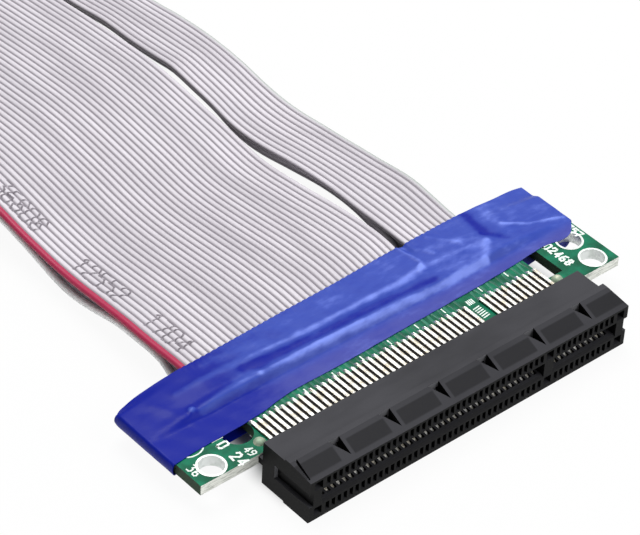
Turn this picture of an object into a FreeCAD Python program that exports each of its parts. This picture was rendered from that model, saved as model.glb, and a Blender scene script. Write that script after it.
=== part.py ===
"""Flexible riser for an eight-lane card slot: a socket board, four ribbon cables and a card-edge board.

The frame: millimetres, the origin at the centre of the card slot's mouth, X along the slot,
Y from the mouth back towards the ribbons, Z up. The slot lies in the plane Z = 0.
"""

import FreeCAD, Part
import Sketcher
import math
import os
from FreeCAD import Vector

OUTPUT_FOLDER = "parts"

# Driving dimensions, in millimetres unless the name says otherwise.
SIZES = {
    # contact rows of an eight-lane slot
    "pin_pitch": 1.0,
    "key_pitch": 3.0,  # between the two contacts beside the key
    "long_pins": 38,
    "short_pins": 11,
    # socket housing
    "housing_length": 56.0,
    "collar_depth": 5.0,
    "housing_depth": 9.25,
    "housing_half": 3.75,
    "mouth_lip": 3.2,
    "ridge_place": 4.1,
    "shoulder_drop": 0.25,
    "shoulder_inset": 0.6,  # at the right end; the left end is flush with the collar
    "foot_chamfer": 0.25,
    "seat_rib_half": 0.5,
    "slot_half": 0.9,
    "slot_depth": 7.6,
    "slot_end_room": 1.0,
    "key_width": 1.7,
    "lead_in": 0.3,
    "window_width": 0.6,
    "window_low": 1.5,
    "window_high": 2.85,
    "blind_width": 1.3,
    "blind_depth": 2.0,
    "preload_bar": 0.85,
    "recess_depth": 0.6,
    "recess_reach": 6.9,
    "recess_low": -1.0,
    "recess_high": 1.2,
    "corner_groove_inset": 0.8,
    "corner_groove_width": 0.35,
    "corner_groove_lean": 0.7,
    "corner_groove_front": 0.6,
    "corner_groove_depth": 0.75,
    "notch_first": -19.9,
    "notch_pitch": 8.52,
    "notch_count": 6,
    "notch_ramp": 1.8,
    "notch_drop": 1.8,
    "notch_rise": 1.37,  # the next three give the way that each notch runs out towards the mouth
    "notch_run": 3.15,
    "notch_lean": 0.62,
    # contacts
    "contact_width": 0.5,
    "contact_stock": 0.25,
    "contact_tip": 1.3,  # the next four from the mouth, along Y
    "contact_point": 2.5,
    "arm_front": 4.6,
    "arm_back": 6.5,
    "arm_lift": 0.85,  # the next three above the tail
    "point_dip": 0.3,
    "tip_lift": 0.35,
    "tail_end": 15.0,
    "tail_height": 0.9,
    "chamber_room": 0.03,
    "tail_bed_width": 0.7,
    "tail_bed_margin": 0.3,
    # socket board
    "board_left": -37.4,
    "board_right": 36.6,
    "board_front": 10.05,
    "board_back": 26.5,
    "board_thickness": 1.6,
    "left_hole_place": -34.0,
    "right_hole_place": 33.55,
    "hole_line": 12.15,
    "rear_hole_line": 16.8,
    "hole_bore": 3.5,
    "eyelet_rim": 4.1,
    "eyelet_wall": 0.1,
    "eyelet_lip": 0.05,
    "round_slot_place": -27.6,
    "round_slot_width": 4.4,
    "square_slot_place": 26.8,
    "square_slot_width": 2.9,
    "slot_front": 12.7,
    "slot_back": 20.0,
    "anchor_radius": 0.85,
    "anchor_height": 0.55,
    "anchor_line": 11.8,
    "anchor_gap": 0.2,
    # ribbons
    "wire_pitch": 1.0,
    "wire_jacket": 0.95,
    "groove_depth": 0.2,
    "wide_wires": 39,
    "narrow_wires": 10,
    "wide_ribbon_place": -26.45,
    "ribbon_split": 1.45,
    "ribbon_lift": 0.25,
    "ribbon_overlap": 1.7,
    "level_exit": 6.2,  # length of the level run at each end of a ribbon
    "layer_gap": 0.3,  # between the upper and lower ribbons along the waves
    # stripped wire ends and their pads
    "wire_core": 0.35,
    "stripped_length": 4.0,
    "wire_step": 1.0,
    "bend_offset": 0.15,
    "pad_width": 0.6,
    "pad_length": 2.8,
    "pad_thickness": 0.05,
    # tape sleeves
    "tape_thickness": 0.12,
    "tape_clearance": 0.03,
    "tape_wrap": 0.6,
    "tape_overhang": 2.4,
    "socket_tape_front": 15.0,  # at the sleeve's left end; its edge runs back from there to the right
    "tape_bend_place": 25.0,
    "tape_bend_lag": 2.6,
    "tape_right_lag": 4.6,
    "tape_corner": 9.0,
    "tape_corner_cut": 1.8,
    "tape_step_room": 0.5,
    "tape_slope": 1.3,
    # card-edge board
    "overall_length": 190.0,
    "card_body_depth": 13.0,
    "card_body_half": 29.0,
    "tongue_depth": 8.4,
    "tongue_end_room": 0.85,
    "notch_width": 1.9,
    "notch_height": 8.2,
    "edge_bevel": 1.3,
    "edge_bevel_cut": 0.4,
    "finger_width": 0.7,
    "finger_length": 4.2,
    "finger_thickness": 0.05,
    "card_tape_reach": 9.0,
}

# Heights of the upper ribbons' middle above the slot plane, at places evenly spaced between the level
# runs at the two boards: the waves that the cables keep from their packing.
WIDE_WAVE = [1.0, 0.15, 1.4, 2.0, 0.8, -0.5, -0.3, 0.4]
NARROW_WAVE = [1.2, -0.2, 1.05, 1.0, -0.2, -0.9, -0.5, 0.2]

document = FreeCAD.newDocument("Riser")


class Size:
    """A number together with the spreadsheet expression that gives it."""

    def __init__(self, value, text):
        self.value = value
        self.text = text

    def joined(self, other, sign, value):
        return Size(value, f"({self.text} {sign} {text_of(other)})")

    def __add__(self, other):
        return self.joined(other, "+", self.value + value_of(other))

    def __sub__(self, other):
        return self.joined(other, "-", self.value - value_of(other))

    def __mul__(self, other):
        return self.joined(other, "*", self.value * value_of(other))

    def __truediv__(self, other):
        return self.joined(other, "/", self.value / value_of(other))

    def __neg__(self):
        return Size(-self.value, f"(0 - {self.text})")

    def __radd__(self, other):
        return Size(other, str(other)) + self

    def __rsub__(self, other):
        return Size(other, str(other)) - self

    def __rmul__(self, other):
        return Size(other, str(other)) * self


def value_of(number):
    """The plain value of a size or a number."""
    return number.value if isinstance(number, Size) else float(number)


def text_of(number):
    """The expression of a size or a number."""
    return number.text if isinstance(number, Size) else str(number)


def size_sheet():
    """The spreadsheet of driving dimensions, and each of them as a Size."""
    sheet = document.addObject("Spreadsheet::Sheet", "Sizes")
    named = {}
    for row, (name, value) in enumerate(SIZES.items(), start=1):
        sheet.set(f"A{row}", name)
        sheet.set(f"B{row}", str(value))
        sheet.setAlias(f"B{row}", name)
        named[name] = Size(value, f"Sizes.{name}")
    document.recompute()
    return named


def bind(thing, name, number):
    """Sets a property from a size, and keeps it bound to the spreadsheet."""
    thing.setExpression(name, text_of(number))


def origin_part(body, role):
    """A body's own origin plane or axis."""
    return next(feature for feature in body.Origin.OriginFeatures if feature.Role == role)


def new_body(label):
    """An empty body whose label names its file."""
    body = document.addObject("PartDesign::Body", label)
    body.Label = label
    body.AllowCompound = True
    return body


def new_sketch(body, name, role, offset=0):
    """A sketch on one of the body's origin planes, moved along the plane's normal."""
    sketch = body.newObject("Sketcher::SketchObject", name)
    sketch.AttachmentSupport = (origin_part(body, role), [""])
    sketch.MapMode = "FlatFace"
    bind(sketch, "AttachmentOffset.Base.z", offset)
    return sketch


def pin_point(sketch, geometry, end, place):
    """Fixes a point of a sketch at a place given by two sizes."""
    for kind, number in zip(("DistanceX", "DistanceY"), place):
        constraint = Sketcher.Constraint(kind, -1, 1, geometry, end, value_of(number))
        bind(sketch, f"Constraints[{sketch.addConstraint(constraint)}]", number)


def add_polygon(sketch, corners):
    """Draws a closed polygon whose corners are bound to sizes."""
    first = sketch.GeometryCount
    flat = [Vector(value_of(across), value_of(up), 0) for across, up in corners]
    count = len(flat)
    for index in range(count):
        sketch.addGeometry(Part.LineSegment(flat[index], flat[(index + 1) % count]), False)
    for index in range(count):
        following = first + (index + 1) % count
        sketch.addConstraint(Sketcher.Constraint("Coincident", first + index, 2, following, 1))
        pin_point(sketch, first + index, 1, corners[index])


def add_rectangle(sketch, low, high):
    """Draws a rectangle between two opposite corners."""
    add_polygon(sketch, [low, (high[0], low[1]), high, (low[0], high[1])])


def add_circle(sketch, centre, radius):
    """Draws a circle whose centre and radius are bound to sizes."""
    middle = Vector(value_of(centre[0]), value_of(centre[1]), 0)
    index = sketch.addGeometry(Part.Circle(middle, Vector(0, 0, 1), value_of(radius)), False)
    pin_point(sketch, index, 3, centre)
    constraint = sketch.addConstraint(Sketcher.Constraint("Radius", index, value_of(radius)))
    bind(sketch, f"Constraints[{constraint}]", radius)


def pad(body, sketch, length, symmetric=True, backwards=False):
    """Thickens a sketch."""
    feature = body.newObject("PartDesign::Pad", f"{sketch.Name}Pad")
    feature.Profile = sketch
    feature.SideType = "Symmetric" if symmetric else "One side"
    feature.Reversed = backwards
    bind(feature, "Length", length)
    document.recompute()
    return feature


def pocket(body, sketch, depth, symmetric=False, backwards=False, along=None):
    """Cuts a sketch out of the body, and makes sure that something was cut."""
    before = body.Shape.Volume
    feature = body.newObject("PartDesign::Pocket", f"{sketch.Name}Cut")
    feature.Profile = sketch
    feature.SideType = "Symmetric" if symmetric else "One side"
    feature.Reversed = backwards
    if along:
        feature.UseCustomVector = True
        for axis, number in zip("xyz", along):
            bind(feature, f"Direction.{axis}", number)
        feature.AlongSketchNormal = True
    bind(feature, "Length", depth)
    document.recompute()
    if not body.Shape.Volume < before:
        raise ValueError(f"{feature.Name} cuts nothing")
    return feature


def row_of(body, name, features, pitch, count, role="X_Axis"):
    """Repeats features along an axis of the body."""
    pattern = body.newObject("PartDesign::LinearPattern", name)
    pattern.Originals = features
    pattern.Direction = (origin_part(body, role), [""])
    pattern.Mode = "Spacing"
    bind(pattern, "Offset", pitch)
    bind(pattern, "Occurrences", count)
    body.Tip = pattern
    document.recompute()
    return pattern


def mirrored(label, source, height=0):
    """The same piece on the other side of a level plane."""
    twin = document.addObject("Part::Mirroring", label)
    twin.Label = label
    twin.Source = source
    twin.Normal = Vector(0, 0, 1)
    bind(twin, "Base.z", height)
    source.Visibility = True
    return twin


size = size_sheet()

# Places that several pieces share.
row_half = ((size["long_pins"] + size["short_pins"] - 2) * size["pin_pitch"] + size["key_pitch"]) / 2
long_start = -row_half
long_stop = long_start + (size["long_pins"] - 1) * size["pin_pitch"]
short_start = long_stop + size["key_pitch"]
short_stop = row_half
key_middle = long_stop + size["key_pitch"] / 2
compartments = [
    (long_start - size["slot_end_room"], key_middle - size["key_width"] / 2),
    (key_middle + size["key_width"] / 2, short_stop + size["slot_end_room"]),
]
board_half = size["board_thickness"] / 2
shoulder = size["housing_half"] - size["shoulder_drop"]
ribbon_level = board_half + size["ribbon_lift"] + size["wire_jacket"] / 2
ribbon_top = ribbon_level + size["wire_jacket"] / 2
tape_inner = ribbon_top + size["tape_clearance"]
tape_outer = tape_inner + size["tape_thickness"]
card_level = tape_outer - size["housing_half"]  # its tape's underside is level with the housing's foot
card_back = size["overall_length"] - size["tongue_depth"] - size["card_body_depth"]
card_shoulder = size["overall_length"] - size["tongue_depth"]
ribbon_start = size["board_back"] - size["ribbon_overlap"]
ribbon_stop = card_back + size["ribbon_overlap"]
wide_ribbon_width = (size["wide_wires"] - 1) * size["wire_pitch"] + size["wire_jacket"]
narrow_place = size["wide_ribbon_place"] + wide_ribbon_width + size["ribbon_split"]


def both_rows(body, name, make):
    """Makes a feature list at the first pin of each compartment, and repeats each along its row."""
    made = []
    for part, start, count in (("Long", long_start, "long_pins"), ("Short", short_start, "short_pins")):
        features = make(part, start)
        made.append(row_of(body, f"{name}{part}Row", features, size["pin_pitch"], size[count]))
    return made


def make_housing():
    """The moulded socket: collar with a sloped and notched top, body, card slot, contact chambers."""
    body = new_body("socket_housing")
    half = size["housing_half"]
    collar = new_sketch(body, "Collar", "YZ_Plane")
    add_polygon(
        collar,
        [
            (0, size["foot_chamfer"] - half),
            (0, size["mouth_lip"]),
            (size["ridge_place"], half),
            (size["collar_depth"], half),
            (size["collar_depth"], -half),
            (size["foot_chamfer"], -half),
        ],
    )
    pad(body, collar, size["housing_length"])
    rear = new_sketch(body, "Rear", "YZ_Plane", -size["shoulder_inset"] / 2)
    rib = size["seat_rib_half"]
    inside = size["collar_depth"] - size["shoulder_inset"]
    add_polygon(
        rear,
        [
            (inside, -shoulder),
            (inside, shoulder),
            (size["housing_depth"], shoulder),
            (size["housing_depth"], rib),
            (size["board_front"], rib),
            (size["board_front"], -rib),
            (size["housing_depth"], -rib),
            (size["housing_depth"], -shoulder),
        ],
    )
    pad(body, rear, size["housing_length"] - size["shoulder_inset"])

    for number, (left, right) in enumerate(compartments):
        slot = new_sketch(body, f"CardSlot{number}", "XZ_Plane")
        add_rectangle(slot, (left, -size["slot_half"]), (right, size["slot_half"]))
        pocket(body, slot, size["slot_depth"])
        lead = new_sketch(body, f"LeadIn{number}", "YZ_Plane", (left + right) / 2)
        inner = size["slot_half"]
        outer = inner + size["lead_in"]
        add_polygon(lead, [(0, -outer), (size["lead_in"], -inner), (size["lead_in"], inner), (0, outer)])
        pocket(body, lead, right - left, symmetric=True)

    def chambers(part, start):
        left = start - size["window_width"] / 2
        right = start + size["window_width"] / 2
        windows = new_sketch(body, f"Window{part}", "XZ_Plane")
        add_rectangle(windows, (left, size["window_low"]), (right, size["window_high"]))
        add_rectangle(windows, (left, -size["window_high"]), (right, -size["window_low"]))
        channels = new_sketch(body, f"Channel{part}", "XZ_Plane", -size["preload_bar"])
        add_rectangle(channels, (left, -size["window_low"]), (right, size["window_low"]))
        exits = new_sketch(body, f"TailExit{part}", "XZ_Plane", -size["slot_depth"])
        low = size["tail_height"] - size["chamber_room"]
        high = size["tail_height"] + size["contact_stock"] + size["chamber_room"]
        add_rectangle(exits, (left, low), (right, high))
        add_rectangle(exits, (left, -high), (right, -low))
        return [
            pocket(body, windows, size["slot_depth"]),
            pocket(body, channels, size["slot_depth"] - size["preload_bar"]),
            pocket(body, exits, size["housing_depth"] - size["slot_depth"]),
        ]

    both_rows(body, "Chamber", chambers)

    blinds = new_sketch(body, "BlindWindows", "XZ_Plane")
    end_place = row_half + size["slot_end_room"] + size["window_width"]
    for middle in (-end_place, key_middle, end_place):
        left = middle - size["blind_width"] / 2
        right = middle + size["blind_width"] / 2
        add_rectangle(blinds, (left, size["window_low"]), (right, size["window_high"]))
        add_rectangle(blinds, (left, -size["window_high"]), (right, -size["window_low"]))
    pocket(body, blinds, size["blind_depth"])

    for name, side in (("LeftRecess", -1), ("RightRecess", 1)):
        recess = new_sketch(body, name, "YZ_Plane", side * size["housing_length"] / 2)
        add_rectangle(recess, (0, size["recess_low"]), (size["recess_reach"], size["recess_high"]))
        pocket(body, recess, size["recess_depth"], backwards=side < 0)

    groove = new_sketch(body, "CornerGroove", "XY_Plane", half)
    left = size["corner_groove_inset"] - size["housing_length"] / 2
    right = left + size["corner_groove_width"]
    lean = size["corner_groove_lean"]
    ridge = size["ridge_place"]
    front = size["corner_groove_front"]
    add_polygon(groove, [(left, ridge), (left - lean, front), (right - lean, front), (right, ridge)])
    pocket(body, groove, size["corner_groove_depth"])

    notch = new_sketch(body, "Notch", "XZ_Plane", -size["ridge_place"])
    wall = size["notch_first"]
    top = half + size["notch_drop"]
    ramp = wall - size["notch_ramp"]
    add_polygon(notch, [(ramp, half), (wall, half - size["notch_drop"]), (wall, top), (ramp, top)])
    reach = size["notch_run"]
    cut = pocket(body, notch, reach, along=(-size["notch_lean"], -reach, size["notch_rise"]))
    row_of(body, "NotchRow", [cut], size["notch_pitch"], size["notch_count"])
    return body


def make_contacts():
    """One row of 49 stamped spring contacts, whose tails lie on the board."""
    body = new_body("contacts_upper")
    stock = size["contact_stock"]
    foot = size["tail_height"]
    heel = size["slot_depth"] - stock
    arm = foot + size["arm_lift"]
    point = foot - size["point_dip"]
    tip = foot + size["tip_lift"]

    def contact(part, start):
        side = new_sketch(body, f"Contact{part}", "YZ_Plane", start)
        add_polygon(
            side,
            [
                (size["tail_end"], foot),
                (heel, foot),
                (size["arm_back"], arm),
                (size["arm_front"], arm),
                (size["contact_point"], point),
                (size["contact_tip"], tip),
                (size["contact_tip"], tip + stock),
                (size["contact_point"], point + stock),
                (size["arm_front"], arm + stock),
                (size["arm_back"] + stock / 2, arm + stock),
                (heel + stock / 2, foot + stock),
                (size["tail_end"], foot + stock),
            ],
        )
        return [pad(body, side, size["contact_width"])]

    both_rows(body, "Contact", contact)
    return body


def make_bars(label, starts, span, low, high, width, pitch, height=0):
    """A row of flat bars along Y: solder beds, wire pads or card fingers.

    starts holds the middle of the first bar and the number of bars of each run.
    """
    body = new_body(label)
    for number, (start, count) in enumerate(starts):
        plan = new_sketch(body, f"{label}Plan{number}", "XY_Plane", height + low)
        add_rectangle(plan, (start - width / 2, span[0]), (start + width / 2, span[1]))
        bar = pad(body, plan, high - low, symmetric=False)
        row_of(body, f"{label}Row{number}", [bar], pitch, count)
    return body


def make_socket_board():
    """The green board behind the socket, with three fixing holes and two open slots."""
    body = new_body("socket_board")
    plan = new_sketch(body, "BoardPlan", "XY_Plane")
    add_rectangle(plan, (size["board_left"], size["board_front"]), (size["board_right"], size["board_back"]))
    pad(body, plan, size["board_thickness"])
    holes = new_sketch(body, "BoardHoles", "XY_Plane")
    for place in hole_places:
        add_circle(holes, place, size["hole_bore"] / 2 + size["eyelet_wall"])
    pocket(body, holes, size["board_thickness"], symmetric=True)
    round_half = size["round_slot_width"] / 2
    nose = new_sketch(body, "RoundSlotNose", "XY_Plane")
    add_circle(nose, (size["round_slot_place"], size["slot_front"] + round_half), round_half)
    pocket(body, nose, size["board_thickness"], symmetric=True)
    slots = new_sketch(body, "BoardSlots", "XY_Plane")
    add_rectangle(
        slots,
        (size["round_slot_place"] - round_half, size["slot_front"] + round_half),
        (size["round_slot_place"] + round_half, size["slot_back"]),
    )
    square_half = size["square_slot_width"] / 2
    add_rectangle(
        slots,
        (size["square_slot_place"] - square_half, size["slot_front"]),
        (size["square_slot_place"] + square_half, size["slot_back"]),
    )
    pocket(body, slots, size["board_thickness"], symmetric=True)
    return body


def make_eyelets():
    """Plated barrels of the three fixing holes, with a rim on each face."""
    body = new_body("hole_eyelets")
    bore = size["hole_bore"] / 2
    barrel = new_sketch(body, "EyeletBarrel", "XY_Plane")
    for place in hole_places:
        add_circle(barrel, place, bore)
        add_circle(barrel, place, bore + size["eyelet_wall"])
    pad(body, barrel, size["board_thickness"] + size["eyelet_lip"] * 2)
    for name, foot in (("UpperRims", board_half), ("LowerRims", -board_half - size["eyelet_lip"])):
        rims = new_sketch(body, name, "XY_Plane", foot)
        for place in hole_places:
            add_circle(rims, place, bore)
            add_circle(rims, place, size["eyelet_rim"] / 2)
        pad(body, rims, size["eyelet_lip"], symmetric=False)
    return body


def make_anchors():
    """Two domes of solder beside the ends of the tail row, each a cap of a ball."""
    cap = size["anchor_radius"]
    rise = size["anchor_height"]
    ball = (cap * cap + rise * rise) / (rise * 2)
    body = new_body("anchor_solder")
    beside = size["tail_bed_width"] / 2 + size["anchor_gap"] + cap
    for number, place in enumerate((long_start - beside, short_stop + beside)):
        half = new_sketch(body, f"AnchorHalf{number}", "XZ_Plane", -size["anchor_line"])
        centre = (place, board_half + rise - ball)
        rim = (place + cap, board_half)
        foot = (place, board_half)
        top = (place, board_half + rise)
        middle, edge, bottom, crown = (
            Vector(value_of(across), value_of(up), 0) for across, up in (centre, rim, foot, top)
        )
        circle = Part.Circle(middle, Vector(0, 0, 1), ball.value)
        start_angle = math.asin((edge.y - middle.y) / ball.value)
        arc = half.addGeometry(Part.ArcOfCircle(circle, start_angle, math.pi / 2), False)
        axis = half.addGeometry(Part.LineSegment(crown, bottom), False)
        base = half.addGeometry(Part.LineSegment(bottom, edge), False)
        half.addConstraint(Sketcher.Constraint("Coincident", arc, 2, axis, 1))
        half.addConstraint(Sketcher.Constraint("Coincident", axis, 2, base, 1))
        half.addConstraint(Sketcher.Constraint("Coincident", base, 2, arc, 1))
        half.addConstraint(Sketcher.Constraint("Vertical", axis))
        pin_point(half, arc, 3, centre)
        pin_point(half, arc, 1, rim)
        pin_point(half, axis, 2, foot)
        dome = body.newObject("PartDesign::Revolution", f"AnchorDome{number}")
        dome.Profile = half
        dome.ReferenceAxis = (half, [f"Edge{axis + 1}"])
        dome.Angle = 360
        document.recompute()
    return body


def wire_rows(label, back, level, pad_side):
    """The stripped wire ends of both upper ribbons, each stepping down to its pad."""
    body = new_body(label)
    core = size["wire_core"]
    sign = pad_side
    tip = back + sign * size["stripped_length"]
    bend = back + sign * size["wire_step"]
    low = level + board_half + size["pad_thickness"]
    high = level + ribbon_level - core / 2
    for number, (place, count) in enumerate(ribbon_rows):
        side = new_sketch(body, f"{label}Side{number}", "YZ_Plane", place)
        add_polygon(
            side,
            [
                (back, high),
                (back + sign * size["bend_offset"], high),
                (bend, low),
                (tip, low),
                (tip, low + core),
                (bend + sign * size["bend_offset"], low + core),
                (back + sign * size["bend_offset"] * 2, high + core),
                (back, high + core),
            ],
        )
        wire = pad(body, side, core)
        row_of(body, f"{label}Row{number}", [wire], size["wire_pitch"], size[count])
    return body


def make_tape(label, level, left, right, stations, skew):
    """A closed sleeve of tape round a board's rear and the ribbons that lie on it.

    stations are the places along Y of the sleeve's edge on the board, the foot and the top of its
    step over the soldered wires, the start of the ribbons, and its edge on the ribbons.
    """
    body = new_body(label)
    gap = size["tape_clearance"]
    wall = size["tape_thickness"]
    flat = board_half + gap
    middle = board_half + size["pad_thickness"] + size["wire_core"] + gap
    edge, foot, step, start, rear = stations
    away = (rear - edge) / (abs(value_of(rear) - value_of(edge)))

    def profile(name, grow, beyond=0):
        sketch = new_sketch(body, name, "YZ_Plane", (left + right) / 2)
        upper = [
            (edge - away * beyond, flat + grow),
            (foot, flat + grow),
            (step, middle + grow),
            (start - away * size["tape_slope"], middle + grow),
            (start, tape_inner + grow),
            (rear + away * beyond, tape_inner + grow),
        ]
        corners = [(place, level + height) for place, height in upper]
        corners += [(place, level - height) for place, height in reversed(upper)]
        add_polygon(sketch, corners)
        return sketch

    pad(body, profile(f"{label}Outside", wall), right - left)
    pocket(body, profile(f"{label}Inside", 0, beyond=wall), right - left - wall * 2, symmetric=True)
    if skew:
        trim = new_sketch(body, f"{label}Trim", "XY_Plane", level)
        before, after = left - wall, right + wall
        bend = (size["tape_bend_place"], edge + size["tape_bend_lag"])
        front = edge + size["tape_right_lag"]
        outline = [(before, edge - wall), (after, edge - wall), (after, front), (right, front), bend]
        add_polygon(trim, outline + [(left, edge), (before, edge)])
        drop = rear - size["tape_corner_cut"]
        corner = left + size["tape_corner"]
        behind = rear + wall
        add_polygon(trim, [(before, behind), (before, drop), (left, drop), (corner, rear), (corner, behind)])
        pocket(body, trim, tape_outer * 2, symmetric=True)
    return body


def route_wire(points, across):
    """Straight runs joined by tangent arcs, in the plane X = across.

    Each arc's radius is 0.45 of the shorter run over the tangent of half the turn. The radii are
    printed, and the wire is returned.
    """
    places = [Vector(across, along, up) for along, up in points]
    edges = []
    radii = []
    here = places[0]
    for before, corner, after in zip(places, places[1:], places[2:]):
        back = (before - corner).normalize()
        ahead = (after - corner).normalize()
        reach = 0.45 * min((before - corner).Length, (after - corner).Length)
        half_turn = (math.pi - back.getAngle(ahead)) / 2
        radii.append(reach / math.tan(half_turn))
        enter = corner + back * reach
        leave = corner + ahead * reach
        inward = (back + ahead).normalize()
        middle = corner + inward * (radii[-1] / math.cos(half_turn) - radii[-1])
        edges.append(Part.LineSegment(here, enter).toShape())
        edges.append(Part.Arc(enter, middle, leave).toShape())
        here = leave
    edges.append(Part.LineSegment(here, places[-1]).toShape())
    wire = Part.Wire(edges)
    print(f"radii {', '.join(f'{radius:.0f}' for radius in radii)} mm, length {wire.Length:.1f} mm")
    return wire


def make_ribbon(label, place, count, side, wave):
    """A flat cable of side-by-side wires, grooved between them, swept along its wavy route.

    side is 1 for the cables on the boards' upper faces and -1 for the lower ones, which follow the
    upper ones at a small gap.
    """
    level = side * ribbon_level.value
    start, stop = ribbon_start.value, ribbon_stop.value
    far = card_level.value + level
    first_bend, last_bend = start + SIZES["level_exit"], stop - SIZES["level_exit"]
    spacing = (last_bend - first_bend) / (len(wave) + 1)
    drop = 0 if side > 0 else SIZES["wire_jacket"] + SIZES["layer_gap"]
    points = [(start, level), (first_bend, level)]
    points += [(first_bend + spacing * step, height - drop) for step, height in enumerate(wave, start=1)]
    points += [(last_bend, far), (stop, far)]
    pitch = SIZES["wire_pitch"]
    jacket = SIZES["wire_jacket"]
    crest = jacket / 2
    groove = crest - SIZES["groove_depth"]
    first = place.value
    wires = SIZES[count]
    upper = [(first, 0)]
    for index in range(wires):
        middle = first + jacket / 2 + index * pitch
        upper.append((middle, crest))
        if index < wires - 1:
            upper.append((middle + pitch / 2, groove))
    upper.append((first + (wires - 1) * pitch + jacket, 0))
    outline = upper + [(across, -up) for across, up in reversed(upper[1:-1])]
    corners = [Vector(across, start, level + up) for across, up in outline]
    section = document.addObject("Part::Feature", f"{label}_section")
    section.Shape = Part.makePolygon(corners + corners[:1])
    spine = document.addObject("Part::Feature", f"{label}_route")
    spine.Shape = route_wire(points, first)
    ribbon = document.addObject("Part::Sweep", label)
    ribbon.Label = label
    ribbon.Sections = [section]
    ribbon.Spine = (spine, [f"Edge{index + 1}" for index in range(len(spine.Shape.Edges))])
    ribbon.Solid = True
    ribbon.Frenet = False
    document.recompute()
    expected = Part.Face(Part.Wire(section.Shape.Edges)).Area * spine.Shape.Length
    print(f"{label}: volume {ribbon.Shape.Volume:.1f}, section times length {expected:.1f}")
    return ribbon


def make_card_board():
    """The plug end's board: a body for the wires and a bevelled tongue with its key notch."""
    body = new_body("card_edge_board")
    half = size["card_body_half"]
    left = long_start - size["tongue_end_room"]
    right = short_stop + size["tongue_end_room"]
    tip = size["overall_length"]
    plan = new_sketch(body, "CardPlan", "XY_Plane", card_level)
    add_polygon(
        plan,
        [
            (-half, card_back),
            (half, card_back),
            (half, card_shoulder),
            (right, card_shoulder),
            (right, tip),
            (left, tip),
            (left, card_shoulder),
            (-half, card_shoulder),
        ],
    )
    pad(body, plan, size["board_thickness"])
    notch = new_sketch(body, "KeyNotch", "XY_Plane", card_level)
    add_rectangle(
        notch,
        (key_middle - size["notch_width"] / 2, tip - size["notch_height"]),
        (key_middle + size["notch_width"] / 2, tip),
    )
    pocket(body, notch, size["board_thickness"], symmetric=True)
    bevel = new_sketch(body, "EdgeBevel", "YZ_Plane")
    for side in (1, -1):
        face = card_level + side * board_half
        inner = card_level + side * (board_half - size["edge_bevel_cut"])
        add_polygon(bevel, [(tip - size["edge_bevel"], face), (tip, face), (tip, inner)])
    pocket(body, bevel, size["housing_length"], symmetric=True)
    return body


hole_places = [
    (size["left_hole_place"], size["hole_line"]),
    (size["right_hole_place"], size["hole_line"]),
    (size["right_hole_place"], size["rear_hole_line"]),
]
wire_inset = size["wire_jacket"] / 2
ribbon_rows = [
    (size["wide_ribbon_place"] + wire_inset, "wide_wires"),
    (narrow_place + wire_inset, "narrow_wires"),
]
pin_rows = [(long_start, size["long_pins"]), (short_start, size["short_pins"])]
wire_starts = [(place, size[count]) for place, count in ribbon_rows]

nodes = [make_housing(), make_contacts(), make_socket_board(), make_eyelets(), make_anchors()]
nodes.append(
    make_bars(
        "tail_solder_upper",
        pin_rows,
        (size["board_front"] + size["tail_bed_margin"], size["tail_end"] + size["tail_bed_margin"]),
        board_half,
        size["tail_height"],
        size["tail_bed_width"],
        size["pin_pitch"],
    )
)
socket_pads_stop = ribbon_start - size["wire_step"]
nodes.append(
    make_bars(
        "wire_pads_socket_upper",
        wire_starts,
        (socket_pads_stop - size["pad_length"], socket_pads_stop),
        board_half,
        board_half + size["pad_thickness"],
        size["pad_width"],
        size["wire_pitch"],
    )
)
nodes.append(wire_rows("wire_ends_socket_upper", ribbon_start, 0, -1))
socket_rows = [body for body in nodes if "upper" in body.Label]
socket_twins = [mirrored(body.Label.replace("upper", "lower"), body) for body in socket_rows]

card_pads_start = ribbon_stop + size["wire_step"]
card_upper = [
    make_bars(
        "wire_pads_card_upper",
        wire_starts,
        (card_pads_start, card_pads_start + size["pad_length"]),
        board_half,
        board_half + size["pad_thickness"],
        size["pad_width"],
        size["wire_pitch"],
        card_level,
    ),
    wire_rows("wire_ends_card_upper", ribbon_stop, card_level, 1),
    make_bars(
        "edge_fingers_upper",
        pin_rows,
        (
            size["overall_length"] - size["edge_bevel"] - size["finger_length"],
            size["overall_length"] - size["edge_bevel"],
        ),
        board_half,
        board_half + size["finger_thickness"],
        size["finger_width"],
        size["pin_pitch"],
        card_level,
    ),
]
card_twins = [mirrored(body.Label.replace("upper", "lower"), body, card_level) for body in card_upper]
nodes += socket_twins + card_upper + card_twins + [make_card_board()]

step_room = size["tape_step_room"]
socket_pad_front = ribbon_start - size["stripped_length"] - step_room
nodes.append(
    make_tape(
        "socket_tape",
        0,
        size["board_left"] - size["tape_wrap"],
        size["board_right"] + size["tape_wrap"],
        (
            size["socket_tape_front"],
            socket_pad_front - step_room,
            socket_pad_front,
            ribbon_start,
            size["board_back"] + size["tape_overhang"],
        ),
        True,
    )
)
card_pad_front = ribbon_stop + size["stripped_length"] + step_room
nodes.append(
    make_tape(
        "card_tape",
        card_level,
        -size["card_body_half"] - size["tape_wrap"],
        size["card_body_half"] + size["tape_wrap"],
        (
            card_back + size["card_tape_reach"],
            card_pad_front + step_room,
            card_pad_front,
            ribbon_stop,
            card_back - size["tape_overhang"],
        ),
        False,
    )
)
for label, place, count, side, wave in (
    ("ribbon_upper_wide", size["wide_ribbon_place"], "wide_wires", 1, WIDE_WAVE),
    ("ribbon_upper_narrow", narrow_place, "narrow_wires", 1, NARROW_WAVE),
    ("ribbon_lower_wide", size["wide_ribbon_place"], "wide_wires", -1, WIDE_WAVE),
    ("ribbon_lower_narrow", narrow_place, "narrow_wires", -1, NARROW_WAVE),
):
    nodes.append(make_ribbon(label, place, count, side, wave))

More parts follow.
